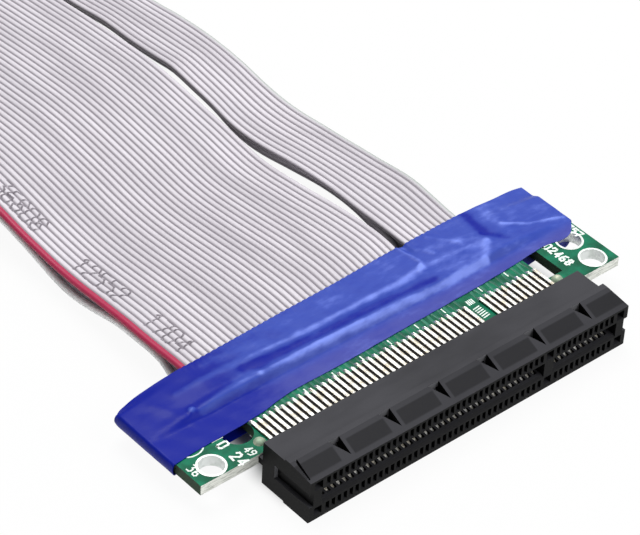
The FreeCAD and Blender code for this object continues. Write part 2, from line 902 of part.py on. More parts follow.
document.recompute()
for thing in document.Objects:
    if {"Invalid", "Error"} & set(thing.State):
        raise ValueError(f"{thing.Name} failed: {thing.State}")
for node in nodes:
    if node.Shape.isNull() or not node.Shape.isValid():
        raise ValueError(f"{node.Label} has no valid shape")

os.makedirs(OUTPUT_FOLDER, exist_ok=True)
for node in nodes:
    node.Shape.exportStep(f"{OUTPUT_FOLDER}/{node.Label}.step")
    box = node.Shape.BoundBox
    print(
        f"{node.Label}: {len(node.Shape.Solids)} solids, volume {node.Shape.Volume:.2f}, "
        f"x {box.XMin:.2f}..{box.XMax:.2f}, y {box.YMin:.2f}..{box.YMax:.2f}, z {box.ZMin:.2f}..{box.ZMax:.2f}"
    )
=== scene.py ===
"""Finish of a flexible riser: cables, tape, solder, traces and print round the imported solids.

Lengths are in millimetres throughout and become metres where a mesh is made. X runs along the card
slot, Y from the slot's mouth back along the cables, and Z up out of the boards' upper faces.
"""

from __future__ import annotations

import sys

import logging
import math
from collections.abc import Callable, Sequence
from dataclasses import dataclass, field
from enum import Enum

import bpy
import numpy as np
from mathutils import Matrix, Vector

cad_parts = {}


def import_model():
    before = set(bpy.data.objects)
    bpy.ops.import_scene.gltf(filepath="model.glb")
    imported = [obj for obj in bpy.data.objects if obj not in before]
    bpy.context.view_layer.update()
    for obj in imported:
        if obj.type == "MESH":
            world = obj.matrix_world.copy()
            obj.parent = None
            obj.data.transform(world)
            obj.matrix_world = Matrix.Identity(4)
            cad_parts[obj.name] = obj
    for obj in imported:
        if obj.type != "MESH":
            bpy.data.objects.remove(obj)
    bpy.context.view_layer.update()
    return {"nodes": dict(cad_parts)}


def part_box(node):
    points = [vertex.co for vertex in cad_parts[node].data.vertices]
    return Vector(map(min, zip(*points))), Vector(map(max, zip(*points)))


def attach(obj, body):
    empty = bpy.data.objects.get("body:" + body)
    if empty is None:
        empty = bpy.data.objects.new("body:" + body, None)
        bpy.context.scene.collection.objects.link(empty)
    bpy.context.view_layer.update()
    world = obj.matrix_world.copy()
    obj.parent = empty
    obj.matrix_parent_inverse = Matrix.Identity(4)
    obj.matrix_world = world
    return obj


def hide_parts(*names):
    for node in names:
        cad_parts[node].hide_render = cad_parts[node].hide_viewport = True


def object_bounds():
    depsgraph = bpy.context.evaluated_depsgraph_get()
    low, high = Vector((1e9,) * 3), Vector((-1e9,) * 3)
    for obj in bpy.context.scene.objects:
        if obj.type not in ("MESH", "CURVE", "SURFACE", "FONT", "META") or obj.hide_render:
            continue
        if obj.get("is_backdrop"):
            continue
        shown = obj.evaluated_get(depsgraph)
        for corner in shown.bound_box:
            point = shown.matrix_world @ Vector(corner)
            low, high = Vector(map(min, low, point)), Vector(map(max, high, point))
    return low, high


MM = 0.001
BODY = "root"
WIRE_PITCH = 1.0  # from one wire, or one contact, to the next
JACKET = 0.95  # across one wire's jacket
WIRE_LIFT = 0.25  # from a board's face to the jackets over it
SHARP_ANGLE = 42.0  # in degrees, above which an edge stays sharp
LOG = logging.getLogger("riser")

Pair = tuple[float, float]
Triple = tuple[float, float, float]
Colour = tuple[float, float, float, float]
Profile = tuple[tuple[float, ...], tuple[float, ...]]


class Slot(Enum):
    """Material slots of the record, passed along with the scene's own pieces."""

    SOLDER = "solder"
    BOARD = "board_laminate"
    TAPE = "tape"
    JACKET = "ribbon_jacket"


class Side(Enum):
    """Faces of a board."""

    UPPER = 1
    LOWER = -1

    @property
    def word(self) -> str:
        """The face's name, as the nodes spell it."""
        return self.name.lower()


def srgb(red: int, green: int, blue: int) -> Colour:
    """Turns display values from 0 to 255 into a linear colour.

    Args:
        red, green, blue: the display values.

    Returns:
        The linear colour with an alpha of 1.
    """
    shares = (value / 255 for value in (red, green, blue))
    linear = (
        share / 12.92 if share <= 0.04045 else ((share + 0.055) / 1.055) ** 2.4 for share in shares
    )
    return (*linear, 1.0)


def smooth_step(low: float, high: float, values: np.ndarray) -> np.ndarray:
    """Rises from 0 at low to 1 at high: t·t·(3 - 2t) of the clamped share t.

    Args:
        low: where the rise begins.
        high: where it ends.
        values: the places.

    Returns:
        The shares.
    """
    share = np.clip((values - low) / (high - low), 0, 1)
    return share * share * (3 - 2 * share)


def smooth_through(
    stations: Sequence[float], heights: Sequence[float], places: np.ndarray
) -> np.ndarray:
    """Cubic Hermite curve through points.

    Between stations a and b, at share t, the height is (2t³-3t²+1)·ha + (t³-2t²+t)·(b-a)·sa
    + (3t²-2t³)·hb + (t³-t²)·(b-a)·sb, with the slopes s from the neighbours' differences.

    Args:
        stations: rising places of the points.
        heights: the points' heights.
        places: where the curve is read; outside the stations it stays level.

    Returns:
        The curve's heights.
    """
    at = np.asarray(stations, float)
    up = np.asarray(heights, float)
    slopes = np.gradient(up, at)
    slopes[0] = slopes[-1] = 0
    inside = np.clip(places, at[0], at[-1])
    index = np.clip(np.searchsorted(at, inside, side="right") - 1, 0, len(at) - 2)
    run = at[index + 1] - at[index]
    t = (inside - at[index]) / run
    start = (2 * t**3 - 3 * t**2 + 1) * up[index] + (t**3 - 2 * t**2 + t) * run * slopes[index]
    stop = (3 * t**2 - 2 * t**3) * up[index + 1]
    return start + stop + (t**3 - t**2) * run * slopes[index + 1]


def distance_to_line(x: np.ndarray, y: np.ndarray, corners: Sequence[Pair]) -> np.ndarray:
    """Distance of each point from an open line of straight runs.

    On a run from a to b the nearest point is a + t·(b-a), with t = (p-a)·(b-a)/|b-a|² held
    between 0 and 1.

    Args:
        x, y: the points.
        corners: the line's corners.

    Returns:
        The least distance to any run.
    """
    nearest = np.full(np.shape(x), np.inf)
    for (ax, ay), (bx, by) in zip(corners, corners[1:]):
        run = (bx - ax) ** 2 + (by - ay) ** 2
        share = np.clip(((x - ax) * (bx - ax) + (y - ay) * (by - ay)) / run, 0, 1)
        away = np.hypot(x - ax - share * (bx - ax), y - ay - share * (by - ay))
        nearest = np.minimum(nearest, away)
    return nearest


def grid_points(x: np.ndarray, y: np.ndarray, z: np.ndarray) -> np.ndarray:
    """Spreads three arrays of coordinates to one shape and stacks them into a grid of points."""
    return np.stack(np.broadcast_arrays(x, y, z), -1)


def grid_quads(rows: int, columns: int, closed: bool = False) -> np.ndarray:
    """Quads between neighbouring points of a grid whose points are numbered row by row.

    Args:
        rows: number of rows.
        columns: number of columns.
        closed: whether the last column joins the first.

    Returns:
        Point numbers, four for each quad.
    """
    steps = np.arange(rows - 1), np.arange(columns - (not closed))
    row, column = np.meshgrid(*steps, indexing="ij")
    following = (column + 1) % columns
    near, far = row * columns, (row + 1) * columns
    corners = [near + column, near + following, far + following, far + column]
    return np.stack(corners, -1).reshape(-1, 4)


@dataclass(frozen=True)
class NodeBox:
    """Lowest and highest corner of a CAD node, in millimetres."""

    low: np.ndarray
    high: np.ndarray

    @classmethod
    def of(cls, node: str) -> NodeBox:
        """Reads the box of a node, by its name, from the frame."""
        low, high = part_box(node)
        return cls(np.array(low) / MM, np.array(high) / MM)

    @property
    def middle(self) -> np.ndarray:
        """The box's centre."""
        return (self.low + self.high) / 2

    @property
    def span(self) -> Pair:
        """The box's left and right end."""
        return (float(self.low[0]), float(self.high[0]))


@dataclass
class Shell:
    """Gathers closed surfaces, all facing outwards, into one mesh."""

    points: list[np.ndarray] = field(default_factory=list)
    quads: list[np.ndarray] = field(default_factory=list)
    maps: list[np.ndarray] = field(default_factory=list)
    shades: list[np.ndarray] = field(default_factory=list)
    count: int = 0

    def add(
        self,
        points: np.ndarray,
        quads: np.ndarray,
        across: np.ndarray | None = None,
        shade: np.ndarray | None = None,
    ) -> None:
        """Adds one closed surface, and turns it round if it encloses a negative volume.

        Args:
            points: its points.
            quads: its faces.
            across: the map place of each point, or None for its X and Y.
            shade: a value for each point, or None for 0.
        """
        corner = points[quads]
        volume = 0.0
        for second, third in ((1, 2), (2, 3)):
            spanned = np.cross(corner[:, second], corner[:, third])
            volume += np.einsum("ij,ij->i", corner[:, 0], spanned).sum()
        if volume < 0:
            quads = quads[:, ::-1]
        self.points.append(points)
        self.quads.append(quads + self.count)
        self.maps.append(points[:, :2] if across is None else across)
        self.shades.append(np.zeros(len(points)) if shade is None else shade)
        self.count += len(points)

    def add_slab(
        self, upper: np.ndarray, lower: np.ndarray, across: np.ndarray | None = None
    ) -> None:
        """Adds the solid between two grids of the same size, closed round its rim.

        Args:
            upper, lower: the grids, rows by columns by 3.
            across: the map place of each grid point, or None.
        """
        rows, columns = upper.shape[:2]
        size = rows * columns
        face = grid_quads(rows, columns)
        number = np.arange(size).reshape(rows, columns)
        sides = [number[0, :-1], number[:-1, -1], number[-1, :0:-1], number[:0:-1, 0]]
        loop = np.concatenate(sides)
        following = np.roll(loop, -1)
        rim = np.stack([following, loop, loop + size, following + size], -1)
        points = np.concatenate([upper.reshape(-1, 3), lower.reshape(-1, 3)])
        quads = np.concatenate([face, face[:, ::-1] + size, rim])
        twice = None if across is None else np.tile(across.reshape(-1, 2), (2, 1))
        self.add(points, quads, twice)

    def add_sleeve(self, outer: np.ndarray, inner: np.ndarray, shade: np.ndarray) -> None:
        """Adds the wall between two tubes, whose grids close on themselves along the columns.

        Args:
            outer, inner: the grids, rows by columns by 3.
            shade: a value for each grid point.
        """
        rows, columns = outer.shape[:2]
        size = rows * columns
        face = grid_quads(rows, columns, closed=True)
        first = np.arange(columns)
        following = np.roll(first, -1)
        last = first + (rows - 1) * columns
        after = following + (rows - 1) * columns
        front = np.stack([following, first, first + size, following + size], -1)
        back = np.stack([last, after, after + size, last + size], -1)
        points = np.concatenate([outer.reshape(-1, 3), inner.reshape(-1, 3)])
        quads = np.concatenate([face, face[:, ::-1] + size, front, back])
        self.add(points, quads, None, np.tile(shade.ravel(), 2))

    def build(
        self, name: str, finish: Finish, slot: Slot, replaced: tuple[str, ...] = ()
    ) -> None:
        """Makes the mesh, dresses it and lets it ride on the part.

        Args:
            name: the piece's name.
            finish: its finish.
            slot: the record's material slot; not used.
            replaced: the CAD nodes that it stands for.
        """
        points = np.concatenate(self.points) * MM
        quads = np.concatenate(self.quads)
        mesh = bpy.data.meshes.new(name)
        mesh.from_pydata(points.tolist(), [], quads.tolist())
        corners = np.empty(len(mesh.loops), np.int32)
        mesh.loops.foreach_get("vertex_index", corners)
        places = np.concatenate(self.maps)[corners].astype(np.float32)
        mesh.uv_layers.new(name="plan").data.foreach_set("uv", places.ravel())
        shade = mesh.attributes.new("shade", "FLOAT", "POINT")
        shade.data.foreach_set("value", np.concatenate(self.shades).astype(np.float32))
        mesh.shade_smooth()
        mesh.set_sharp_from_angle(angle=math.radians(SHARP_ANGLE))
        mesh.materials.append(finish.material())
        piece = bpy.data.objects.new(name, mesh)
        bpy.context.scene.collection.objects.link(piece)
        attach(piece, BODY)
        if replaced:
            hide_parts(*replaced)
        LOG.info("%s: %d faces", name, len(quads))


@dataclass(frozen=True)
class Grain:
    """Noise: the size of its features, its finer layers, and its squeeze along each axis."""

    size: float
    detail: float = 3.0
    squeeze: Triple = (1, 1, 1)


@dataclass(frozen=True)
class Ramp:
    """A smooth change from start to stop, while something runs from low to high."""

    low: float
    high: float
    start: float = 0.0
    stop: float = 1.0


Socket = bpy.types.NodeSocket
Value = Socket | float | Colour


class Wiring:
    """A principled material and the nodes that feed it."""

    def __init__(self, name: str) -> None:
        """Starts a material.

        Args:
            name: its name.
        """
        self.material = bpy.data.materials.new(name)
        self.material.use_nodes = True
        self.tree = self.material.node_tree
        self.surface = self.tree.nodes["Principled BSDF"]

    def node(self, kind: str, **settings: object) -> bpy.types.Node:
        """Adds a node and sets its own properties.

        Args:
            kind: the node's type without its ShaderNode prefix.
            settings: its properties.

        Returns:
            The node.
        """
        made = self.tree.nodes.new(f"ShaderNode{kind}")
        for key, value in settings.items():
            setattr(made, key, value)
        return made

    def feed(self, target: Socket, source: Value) -> None:
        """Links a socket to another one, or sets its value.

        Args:
            target: the input.
            source: an output or a value.
        """
        if isinstance(source, Socket):
            self.tree.links.new(source, target)
        else:
            target.default_value = source

    def place(self) -> Socket:
        """Places in the part's own frame, in metres."""
        return self.node("TexCoord").outputs["Object"]

    def along(self, axis: str) -> Socket:
        """One coordinate in the part's own frame, in metres."""
        return self.part_of(self.place(), axis)

    def normal(self, axis: str) -> Socket:
        """One component of the direction that the surface faces."""
        return self.part_of(self.node("NewGeometry").outputs["Normal"], axis)

    def facing(self, axis: str) -> Socket:
        """How squarely the surface faces along an axis, either way."""
        return self.maths("ABSOLUTE", self.normal(axis))

    def attribute(self, name: str) -> Socket:
        """The value of a named attribute."""
        return self.node("Attribute", attribute_name=name).outputs["Fac"]

    def plan(self, axis: str) -> Socket:
        """One coordinate on the piece's own map."""
        return self.part_of(self.node("UVMap", uv_map="plan").outputs["UV"], axis)

    def part_of(self, vector: Socket, axis: str) -> Socket:
        """One component of a vector.

        Args:
            vector: the vector.
            axis: X, Y or Z.

        Returns:
            The component.
        """
        split = self.node("SeparateXYZ")
        self.feed(split.inputs[0], vector)
        return split.outputs[axis]

    def maths(self, operation: str, *values: Value) -> Socket:
        """Works with one, two or three values.

        Args:
            operation: the Math node's operation.
            values: its inputs.

        Returns:
            The result.
        """
        made = self.node("Math", operation=operation)
        for socket, value in zip(made.inputs, values):
            self.feed(socket, value)
        return made.outputs[0]

    def plus(self, first: Value, second: Value) -> Socket:
        """The sum of two values."""
        return self.maths("ADD", first, second)

    def minus(self, first: Value, second: Value) -> Socket:
        """The first value less the second."""
        return self.maths("SUBTRACT", first, second)

    def times(self, first: Value, second: Value) -> Socket:
        """The product of two values."""
        return self.maths("MULTIPLY", first, second)

    def spread(self, value: Value, ramp: Ramp, unit: float = 1.0) -> Socket:
        """Reads a ramp at a value.

        Args:
            value: the value.
            ramp: the ramp.
            unit: the unit of the ramp's low and high.

        Returns:
            The result.
        """
        made = self.node("MapRange", interpolation_type="SMOOTHSTEP")
        numbers = (value, ramp.low * unit, ramp.high * unit, ramp.start, ramp.stop)
        for socket, number in zip(made.inputs, numbers):
            self.feed(socket, number)
        return made.outputs[0]

    def blend(self, share: Value, first: Value, second: Value) -> Socket:
        """Mixes two colours.

        Args:
            share: how much of the second.
            first, second: the colours.

        Returns:
            The mixed colour.
        """
        made = self.node("Mix", data_type="RGBA")
        for number, value in ((0, share), (6, first), (7, second)):
            self.feed(made.inputs[number], value)
        return made.outputs[2]

    def noise(self, grain: Grain) -> Socket:
        """Noise from 0 to 1 in the part's frame.

        Args:
            grain: its size, layers and squeeze.

        Returns:
            The noise.
        """
        mapping = self.node("Mapping")
        self.feed(mapping.inputs["Vector"], self.place())
        self.feed(mapping.inputs["Scale"], grain.squeeze)
        made = self.node("TexNoise")
        self.feed(made.inputs["Vector"], mapping.outputs[0])
        self.feed(made.inputs["Scale"], 1 / (grain.size * MM))
        self.feed(made.inputs["Detail"], grain.detail)
        return made.outputs["Fac"]

    def patches(self, grain: Grain, ramp: Ramp) -> Socket:
        """Noise read through a ramp."""
        return self.spread(self.noise(grain), ramp)

    def relief(self, height: Value, depth: float, strength: float) -> None:
        """Bumps the surface.

        Args:
            height: the height from 0 to 1.
            depth: the depth in millimetres.
            strength: how much of it shows.
        """
        made = self.node("Bump")
        self.feed(made.inputs["Height"], height)
        self.feed(made.inputs["Distance"], depth * MM)
        self.feed(made.inputs["Strength"], strength)
        self.feed(self.surface.inputs["Normal"], made.outputs[0])

    def finish(self, colour: Value, roughness: Value, **sockets: float) -> bpy.types.Material:
        """Connects the surface.

        Args:
            colour: the base colour.
            roughness: the roughness.
            sockets: other inputs of the surface, with underscores for spaces.

        Returns:
            The material.
        """
        self.feed(self.surface.inputs["Base Color"], colour)
        self.feed(self.surface.inputs["Roughness"], roughness)
        for key, value in sockets.items():
            self.feed(self.surface.inputs[key.replace("_", " ")], value)
        return self.material


@dataclass(frozen=True)
class Finish:
    """A named finish. Each kind builds its own material, once."""

    name: str

    def material(self) -> bpy.types.Material:
        """The finish's material, made when it is first asked for."""
        return bpy.data.materials.get(self.name) or self.make(Wiring(self.name))

    def make(self, wiring: Wiring) -> bpy.types.Material:
        """Builds the material.

        Args:
            wiring: the empty material.

        Returns:
            The finished one.
        """
        raise NotImplementedError


@dataclass(frozen=True)
class MouldedPlastic(Finish):
    """Dark moulded resin, with light and shade painted in by the way each face turns.

    The slopes' panels repeat with the notches and lean with y. A panel's reach is a rise and a
    fall, counted from its notch along X and from the mouth along Y. The pitches_before keep the
    count of pitches above 0, and notch_rear is where the notches end.
    """

    # Painted sheen on level faces; painted shade on slopes, their panels and walls; painted light
    # on notch backs.
    level: Colour = srgb(64, 64, 68)
    slope_shade: Colour = srgb(54, 54, 58)
    panel_shade: Colour = srgb(34, 34, 37)
    wall: Colour = srgb(9, 9, 10)
    notch_back_light: Colour = srgb(120, 120, 124)
    streak: Colour = srgb(30, 30, 33)
    ridge: float = 3.6
    first_notch: float = -19.9
    notch_pitch: float = 8.52
    pitches_before: float = 9.0
    lean: float = 0.2
    panel_across: tuple[Ramp, Ramp] = (Ramp(0.3, 0.6), Ramp(6.62, 6.92, 1.0, 0.0))
    panel_along: tuple[Ramp, Ramp] = (Ramp(0.6, 1.0), Ramp(3.15, 3.45, 1.0, 0.0))
    sloping_from: Ramp = Ramp(0.02, 0.1)
    level_from: Ramp = Ramp(0.6, 0.95)
    notch_rear: Ramp = Ramp(2.4, 2.6)
    to_the_mouth: Ramp = Ramp(-0.9, -0.8, 1.0, 0.0)
    flow: Grain = Grain(6.0, 4.0, (0.35, 1, 1))
    flow_share: Ramp = Ramp(0.4, 0.8, 0.0, 0.5)
    grain: Grain = Grain(0.35, 2.0)
    grain_depth: float = 0.012
    grain_strength: float = 0.5
    roughness: float = 0.44
    roughness_range: float = 0.16
    specular: float = 0.09

    def panels(self, wiring: Wiring) -> Socket:
        """Marks the panels of painted shade: with x' = x + lean·(ridge - y), one in each pitch of
        x'.

        Args:
            wiring: the material in work.

        Returns:
            1 on a panel and 0 beside it.
        """
        x, y = (wiring.maths("DIVIDE", wiring.along(axis), MM) for axis in "XY")
        leaning = wiring.plus(x, wiring.times(wiring.minus(self.ridge, y), self.lean))
        from_first = wiring.minus(leaning, self.first_notch)
        pitches = wiring.maths("DIVIDE", from_first, self.notch_pitch)
        turn = wiring.maths("FRACT", wiring.plus(pitches, self.pitches_before))
        from_notch = wiring.times(turn, self.notch_pitch)
        across = wiring.times(*(wiring.spread(from_notch, ramp) for ramp in self.panel_across))
        along = wiring.times(*(wiring.spread(y, ramp) for ramp in self.panel_along))
        return wiring.times(across, along)

    def make(self, wiring: Wiring) -> bpy.types.Material:
        """Paints light and shade into the tone by the surface's direction, streaks it, and bumps it
        with the grain.

        Args:
            wiring: the empty material.

        Returns:
            The finished one.
        """
        flat = wiring.spread(wiring.facing("Z"), self.level_from)
        sloping = wiring.blend(self.panels(wiring), self.slope_shade, self.panel_shade)
        tilt = wiring.spread(wiring.facing("Y"), self.sloping_from)
        top = wiring.blend(tilt, self.level, sloping)
        behind = wiring.spread(wiring.along("Y"), self.notch_rear, MM)
        back = wiring.times(behind, wiring.spread(wiring.normal("Y"), self.to_the_mouth))
        # Painted light and shade: walls black, notch back walls light, level faces lighter than the
        # slopes.
        tone = wiring.blend(flat, wiring.blend(back, self.wall, self.notch_back_light), top)
        flow = wiring.times(wiring.patches(self.flow, self.flow_share), flat)
        grain = wiring.noise(self.grain)
        gloss = wiring.plus(self.roughness, wiring.times(grain, self.roughness_range))
        wiring.relief(grain, self.grain_depth, self.grain_strength)
        colour = wiring.blend(flow, tone, self.streak)
        return wiring.finish(colour, gloss, Specular_IOR_Level=self.specular)


@dataclass(frozen=True)
class SolderMask(Finish):
    """Green lacquer on a board's faces and pale laminate on its front cut edge; its other cut edges
    are darker with painted shade.
    """

    lacquer: Colour = srgb(0, 114, 82)
    deep: Colour = srgb(0, 78, 54)
    front_edge: Colour = srgb(244, 246, 238)
    # Dark tone of the fibre layers, and painted shade on every cut edge but the front one.
    fibre_and_side_shade: Colour = srgb(58, 76, 60)
    cloud: Grain = Grain(2.2, 4.0)
    cloud_share: Ramp = Ramp(0.3, 0.7)
    fibre: Grain = Grain(0.25, 2.0, (0.15, 0.15, 1))
    fibre_share: Ramp = Ramp(0.45, 0.65, 0.0, 0.35)
    peel: Grain = Grain(1.1, 3.0)
    peel_depth: float = 0.02
    peel_strength: float = 0.35
    front_end: Ramp = Ramp(10.3, 10.4, 1.0, 0.0)
    front_from: Ramp = Ramp(0.6, 0.9)
    level_from: Ramp = Ramp(0.4, 0.7)
    roughness: Ramp = Ramp(0.4, 0.7, 0.7, 0.27)
    specular: float = 0.18

    def make(self, wiring: Wiring) -> bpy.types.Material:
        """Lacquers level faces, and shows layers of fibre and painted shade on the edges.

        Args:
            wiring: the empty material.

        Returns:
            The finished one.
        """
        cloud = wiring.patches(self.cloud, self.cloud_share)
        face = wiring.blend(cloud, self.lacquer, self.deep)
        level = wiring.facing("Z")
        front = wiring.spread(wiring.along("Y"), self.front_end, MM)
        pale = wiring.times(front, wiring.spread(wiring.facing("Y"), self.front_from))
        # Cut edges other than the front one get painted shade.
        edge = wiring.blend(pale, self.fibre_and_side_shade, self.front_edge)
        layers = wiring.patches(self.fibre, self.fibre_share)
        cut = wiring.blend(layers, edge, self.fibre_and_side_shade)
        colour = wiring.blend(wiring.spread(level, self.level_from), cut, face)
        wiring.relief(wiring.noise(self.peel), self.peel_depth, self.peel_strength)
        gloss = wiring.spread(level, self.roughness)
        return wiring.finish(colour, gloss, Specular_IOR_Level=self.specular)


@dataclass(frozen=True)
class Mottled(Finish):
    """Two tones mixed by noise."""

    colour: Colour
    patch: Colour
    cloud: Grain
    cloud_share: Ramp
    roughness: float
    specular: float

    def make(self, wiring: Wiring) -> bpy.types.Material:
        """Mixes the tones.

        Args:
            wiring: the empty material.

        Returns:
            The finished one.
        """
        share = wiring.patches(self.cloud, self.cloud_share)
        colour = wiring.blend(share, self.colour, self.patch)
        return wiring.finish(colour, self.roughness, Specular_IOR_Level=self.specular)


@dataclass(frozen=True)
class Lacquered(Mottled):
    """Lacquer over a copper trace, lighter than over bare laminate."""

    colour: Colour = srgb(44, 124, 98)
    patch: Colour = srgb(8, 76, 58)
    cloud: Grain = Grain(1.4, 3.0, (1, 0.3, 1))
    cloud_share: Ramp = Ramp(0.3, 0.7)
    roughness: float = 0.3
    specular: float = 0.25


@dataclass(frozen=True)
class Flux(Mottled):
    """Dark sheet between soldered tails: near black as painted shadow, with brown patches of burnt
    flux.
    """

    # Near black is painted shadow between the tails; the brown patches are flux.
    colour: Colour = srgb(13, 11, 10)
    patch: Colour = srgb(44, 32, 22)
    cloud: Grain = Grain(0.9)
    cloud_share: Ramp = Ramp(0.45, 0.72)
    roughness: float = 0.35
    specular: float = 0.2


@dataclass(frozen=True)
class Ink(Mottled):
    """Printed ink, thin in places."""

    colour: Colour = srgb(236, 244, 238)
    patch: Colour = srgb(170, 200, 184)
    cloud: Grain = Grain(0.5)
    cloud_share: Ramp = Ramp(0.5, 0.75)
    roughness: float = 0.6
    specular: float = 0.5


@dataclass(frozen=True)
class Metal(Finish):
    """Tinned, soldered or gilded metal with patches of another tone."""

    colour: Colour
    patch: Colour
    roughness: float = 0.3
    roughness_range: float = 0.15
    metallic: float = 0.85
    dents: float = 0.03
    dent_strength: float = 0.6
    cloud: Grain = Grain(1.3)
    cloud_share: Ramp = Ramp(0.42, 0.68)
    rub: Grain = Grain(1.3 / 3, 2.0)
    rub_share: Pair = (0.3, 0.7)
    dent: Grain = Grain(1.3 / 2, 2.0)

    def make(self, wiring: Wiring) -> bpy.types.Material:
        """Mixes the two tones by noise and wrinkles the surface slightly.

        Args:
            wiring: the empty material.

        Returns:
            The finished one.
        """
        share = wiring.patches(self.cloud, self.cloud_share)
        colour = wiring.blend(share, self.colour, self.patch)
        rough = Ramp(*self.rub_share, self.roughness, self.roughness + self.roughness_range)
        gloss = wiring.patches(self.rub, rough)
        wiring.relief(wiring.noise(self.dent), self.dents, self.dent_strength)
        return wiring.finish(colour, gloss, Metallic=self.metallic)


@dataclass(frozen=True)
class CreasedFilm(Finish):
    """Blue tape: deeper towards its left end and with painted shade in the creases' valleys, pale
    with painted sheen along the creases, violet over the traces.
    """

    # deep holds painted shade in the valleys and the darker left end; pale holds painted sheen.
    deep: Colour = srgb(8, 26, 140)
    plain: Colour = srgb(54, 74, 166)
    pale: Colour = srgb(122, 142, 230)
    violet: Colour = srgb(72, 70, 146)
    violet_share: Ramp = Ramp(18.2, 20.2, 0.6, 0.0)
    deep_share: Ramp = Ramp(-1.0, 0.1)
    pale_share: Ramp = Ramp(0.0, 1.0)
    smears: tuple[tuple[Grain, float], ...] = (
        (Grain(2.6, 5.0, (0.5, 1, 1)), 1.1),
        (Grain(0.7, 3.0, (0.45, 1, 1)), 0.6),
    )
    crinkle: Grain = Grain(1.7, 4.0, (0.6, 1, 1))
    crinkle_depth: float = 0.11
    crinkle_strength: float = 0.6
    roughness: float = 0.4
    specular: float = 0.12
    coat: float = 0.03
    coat_roughness: float = 0.2

    def make(self, wiring: Wiring) -> bpy.types.Material:
        """Reads the painted shade and sheen worked out with the creases: -1 is deep, 0 plain and 1
        pale.

        Args:
            wiring: the empty material.

        Returns:
            The finished one.
        """
        shade = wiring.attribute("shade")
        for grain, amount in self.smears:
            smear = wiring.times(wiring.minus(wiring.noise(grain), 0.5), amount)
            shade = wiring.plus(shade, smear)
        front = wiring.spread(wiring.along("Y"), self.violet_share, MM)
        plain = wiring.blend(front, self.plain, self.violet)
        cool = wiring.blend(wiring.spread(shade, self.deep_share), self.deep, plain)
        colour = wiring.blend(wiring.spread(shade, self.pale_share), cool, self.pale)
        wiring.relief(wiring.noise(self.crinkle), self.crinkle_depth, self.crinkle_strength)
        return wiring.finish(
            colour,
            self.roughness,
            Specular_IOR_Level=self.specular,
            Coat_Weight=self.coat,
            Coat_Roughness=self.coat_roughness,
        )


@dataclass(frozen=True)
class RibbedJacket(Finish):
    """Soft grey jacket over side-by-side wires, with painted shade in the grooves.

    The first wires may have another tone, up to edge_wires, and the last get a darker tone of
    painted shade, from rim_shade_share on.
    """

    colour: Colour = srgb(211, 206, 213)
    mottle_and_groove_shade: Colour = srgb(118, 112, 120)
    # edge: the marker wire's red; a pale edge paints light on a shaded first wire.
    edge: Colour = srgb(168, 34, 74)
    edge_wires: float = 0.0
    # Painted shade on the outer side of the last wires.
    rim: Colour = srgb(166, 174, 168)
    rim_shade_share: Ramp = Ramp(99.0, 99.7)
    groove_shade_share: Ramp = Ramp(0.24, 0.5)
    mottle: Grain = Grain(3.5, 3.0, (1, 0.2, 1))
    mottle_share: Ramp = Ramp(0.3, 0.7, 0.0, 0.22)
    peel: Grain = Grain(0.5, 2.0)
    peel_depth: float = 0.02
    peel_strength: float = 0.4
    roughness: float = 0.46
    specular: float = 0.4

    def make(self, wiring: Wiring) -> bpy.types.Material:
        """Finds each wire from the map's first coordinate, which counts wires.

        Args:
            wiring: the empty material.

        Returns:
            The finished one.
        """
        count = wiring.plan("X")
        to_middle = 1.5 - JACKET / WIRE_PITCH / 2
        turned = wiring.maths("FRACT", wiring.plus(count, to_middle))
        off = wiring.maths("ABSOLUTE", wiring.minus(turned, 0.5))
        mottle = wiring.patches(self.mottle, self.mottle_share)
        plain = wiring.blend(mottle, self.colour, self.mottle_and_groove_shade)
        # Painted shade in the grooves between wires.
        body = wiring.blend(wiring.spread(off, self.groove_shade_share), plain, self.mottle_and_groove_shade)
        coloured = wiring.maths("LESS_THAN", count, self.edge_wires)
        colour = wiring.blend(coloured, body, self.edge)
        # Painted shade on the last wires.
        colour = wiring.blend(wiring.spread(count, self.rim_shade_share), colour, self.rim)
        wiring.relief(wiring.noise(self.peel), self.peel_depth, self.peel_strength)
        return wiring.finish(colour, self.roughness, Specular_IOR_Level=self.specular)


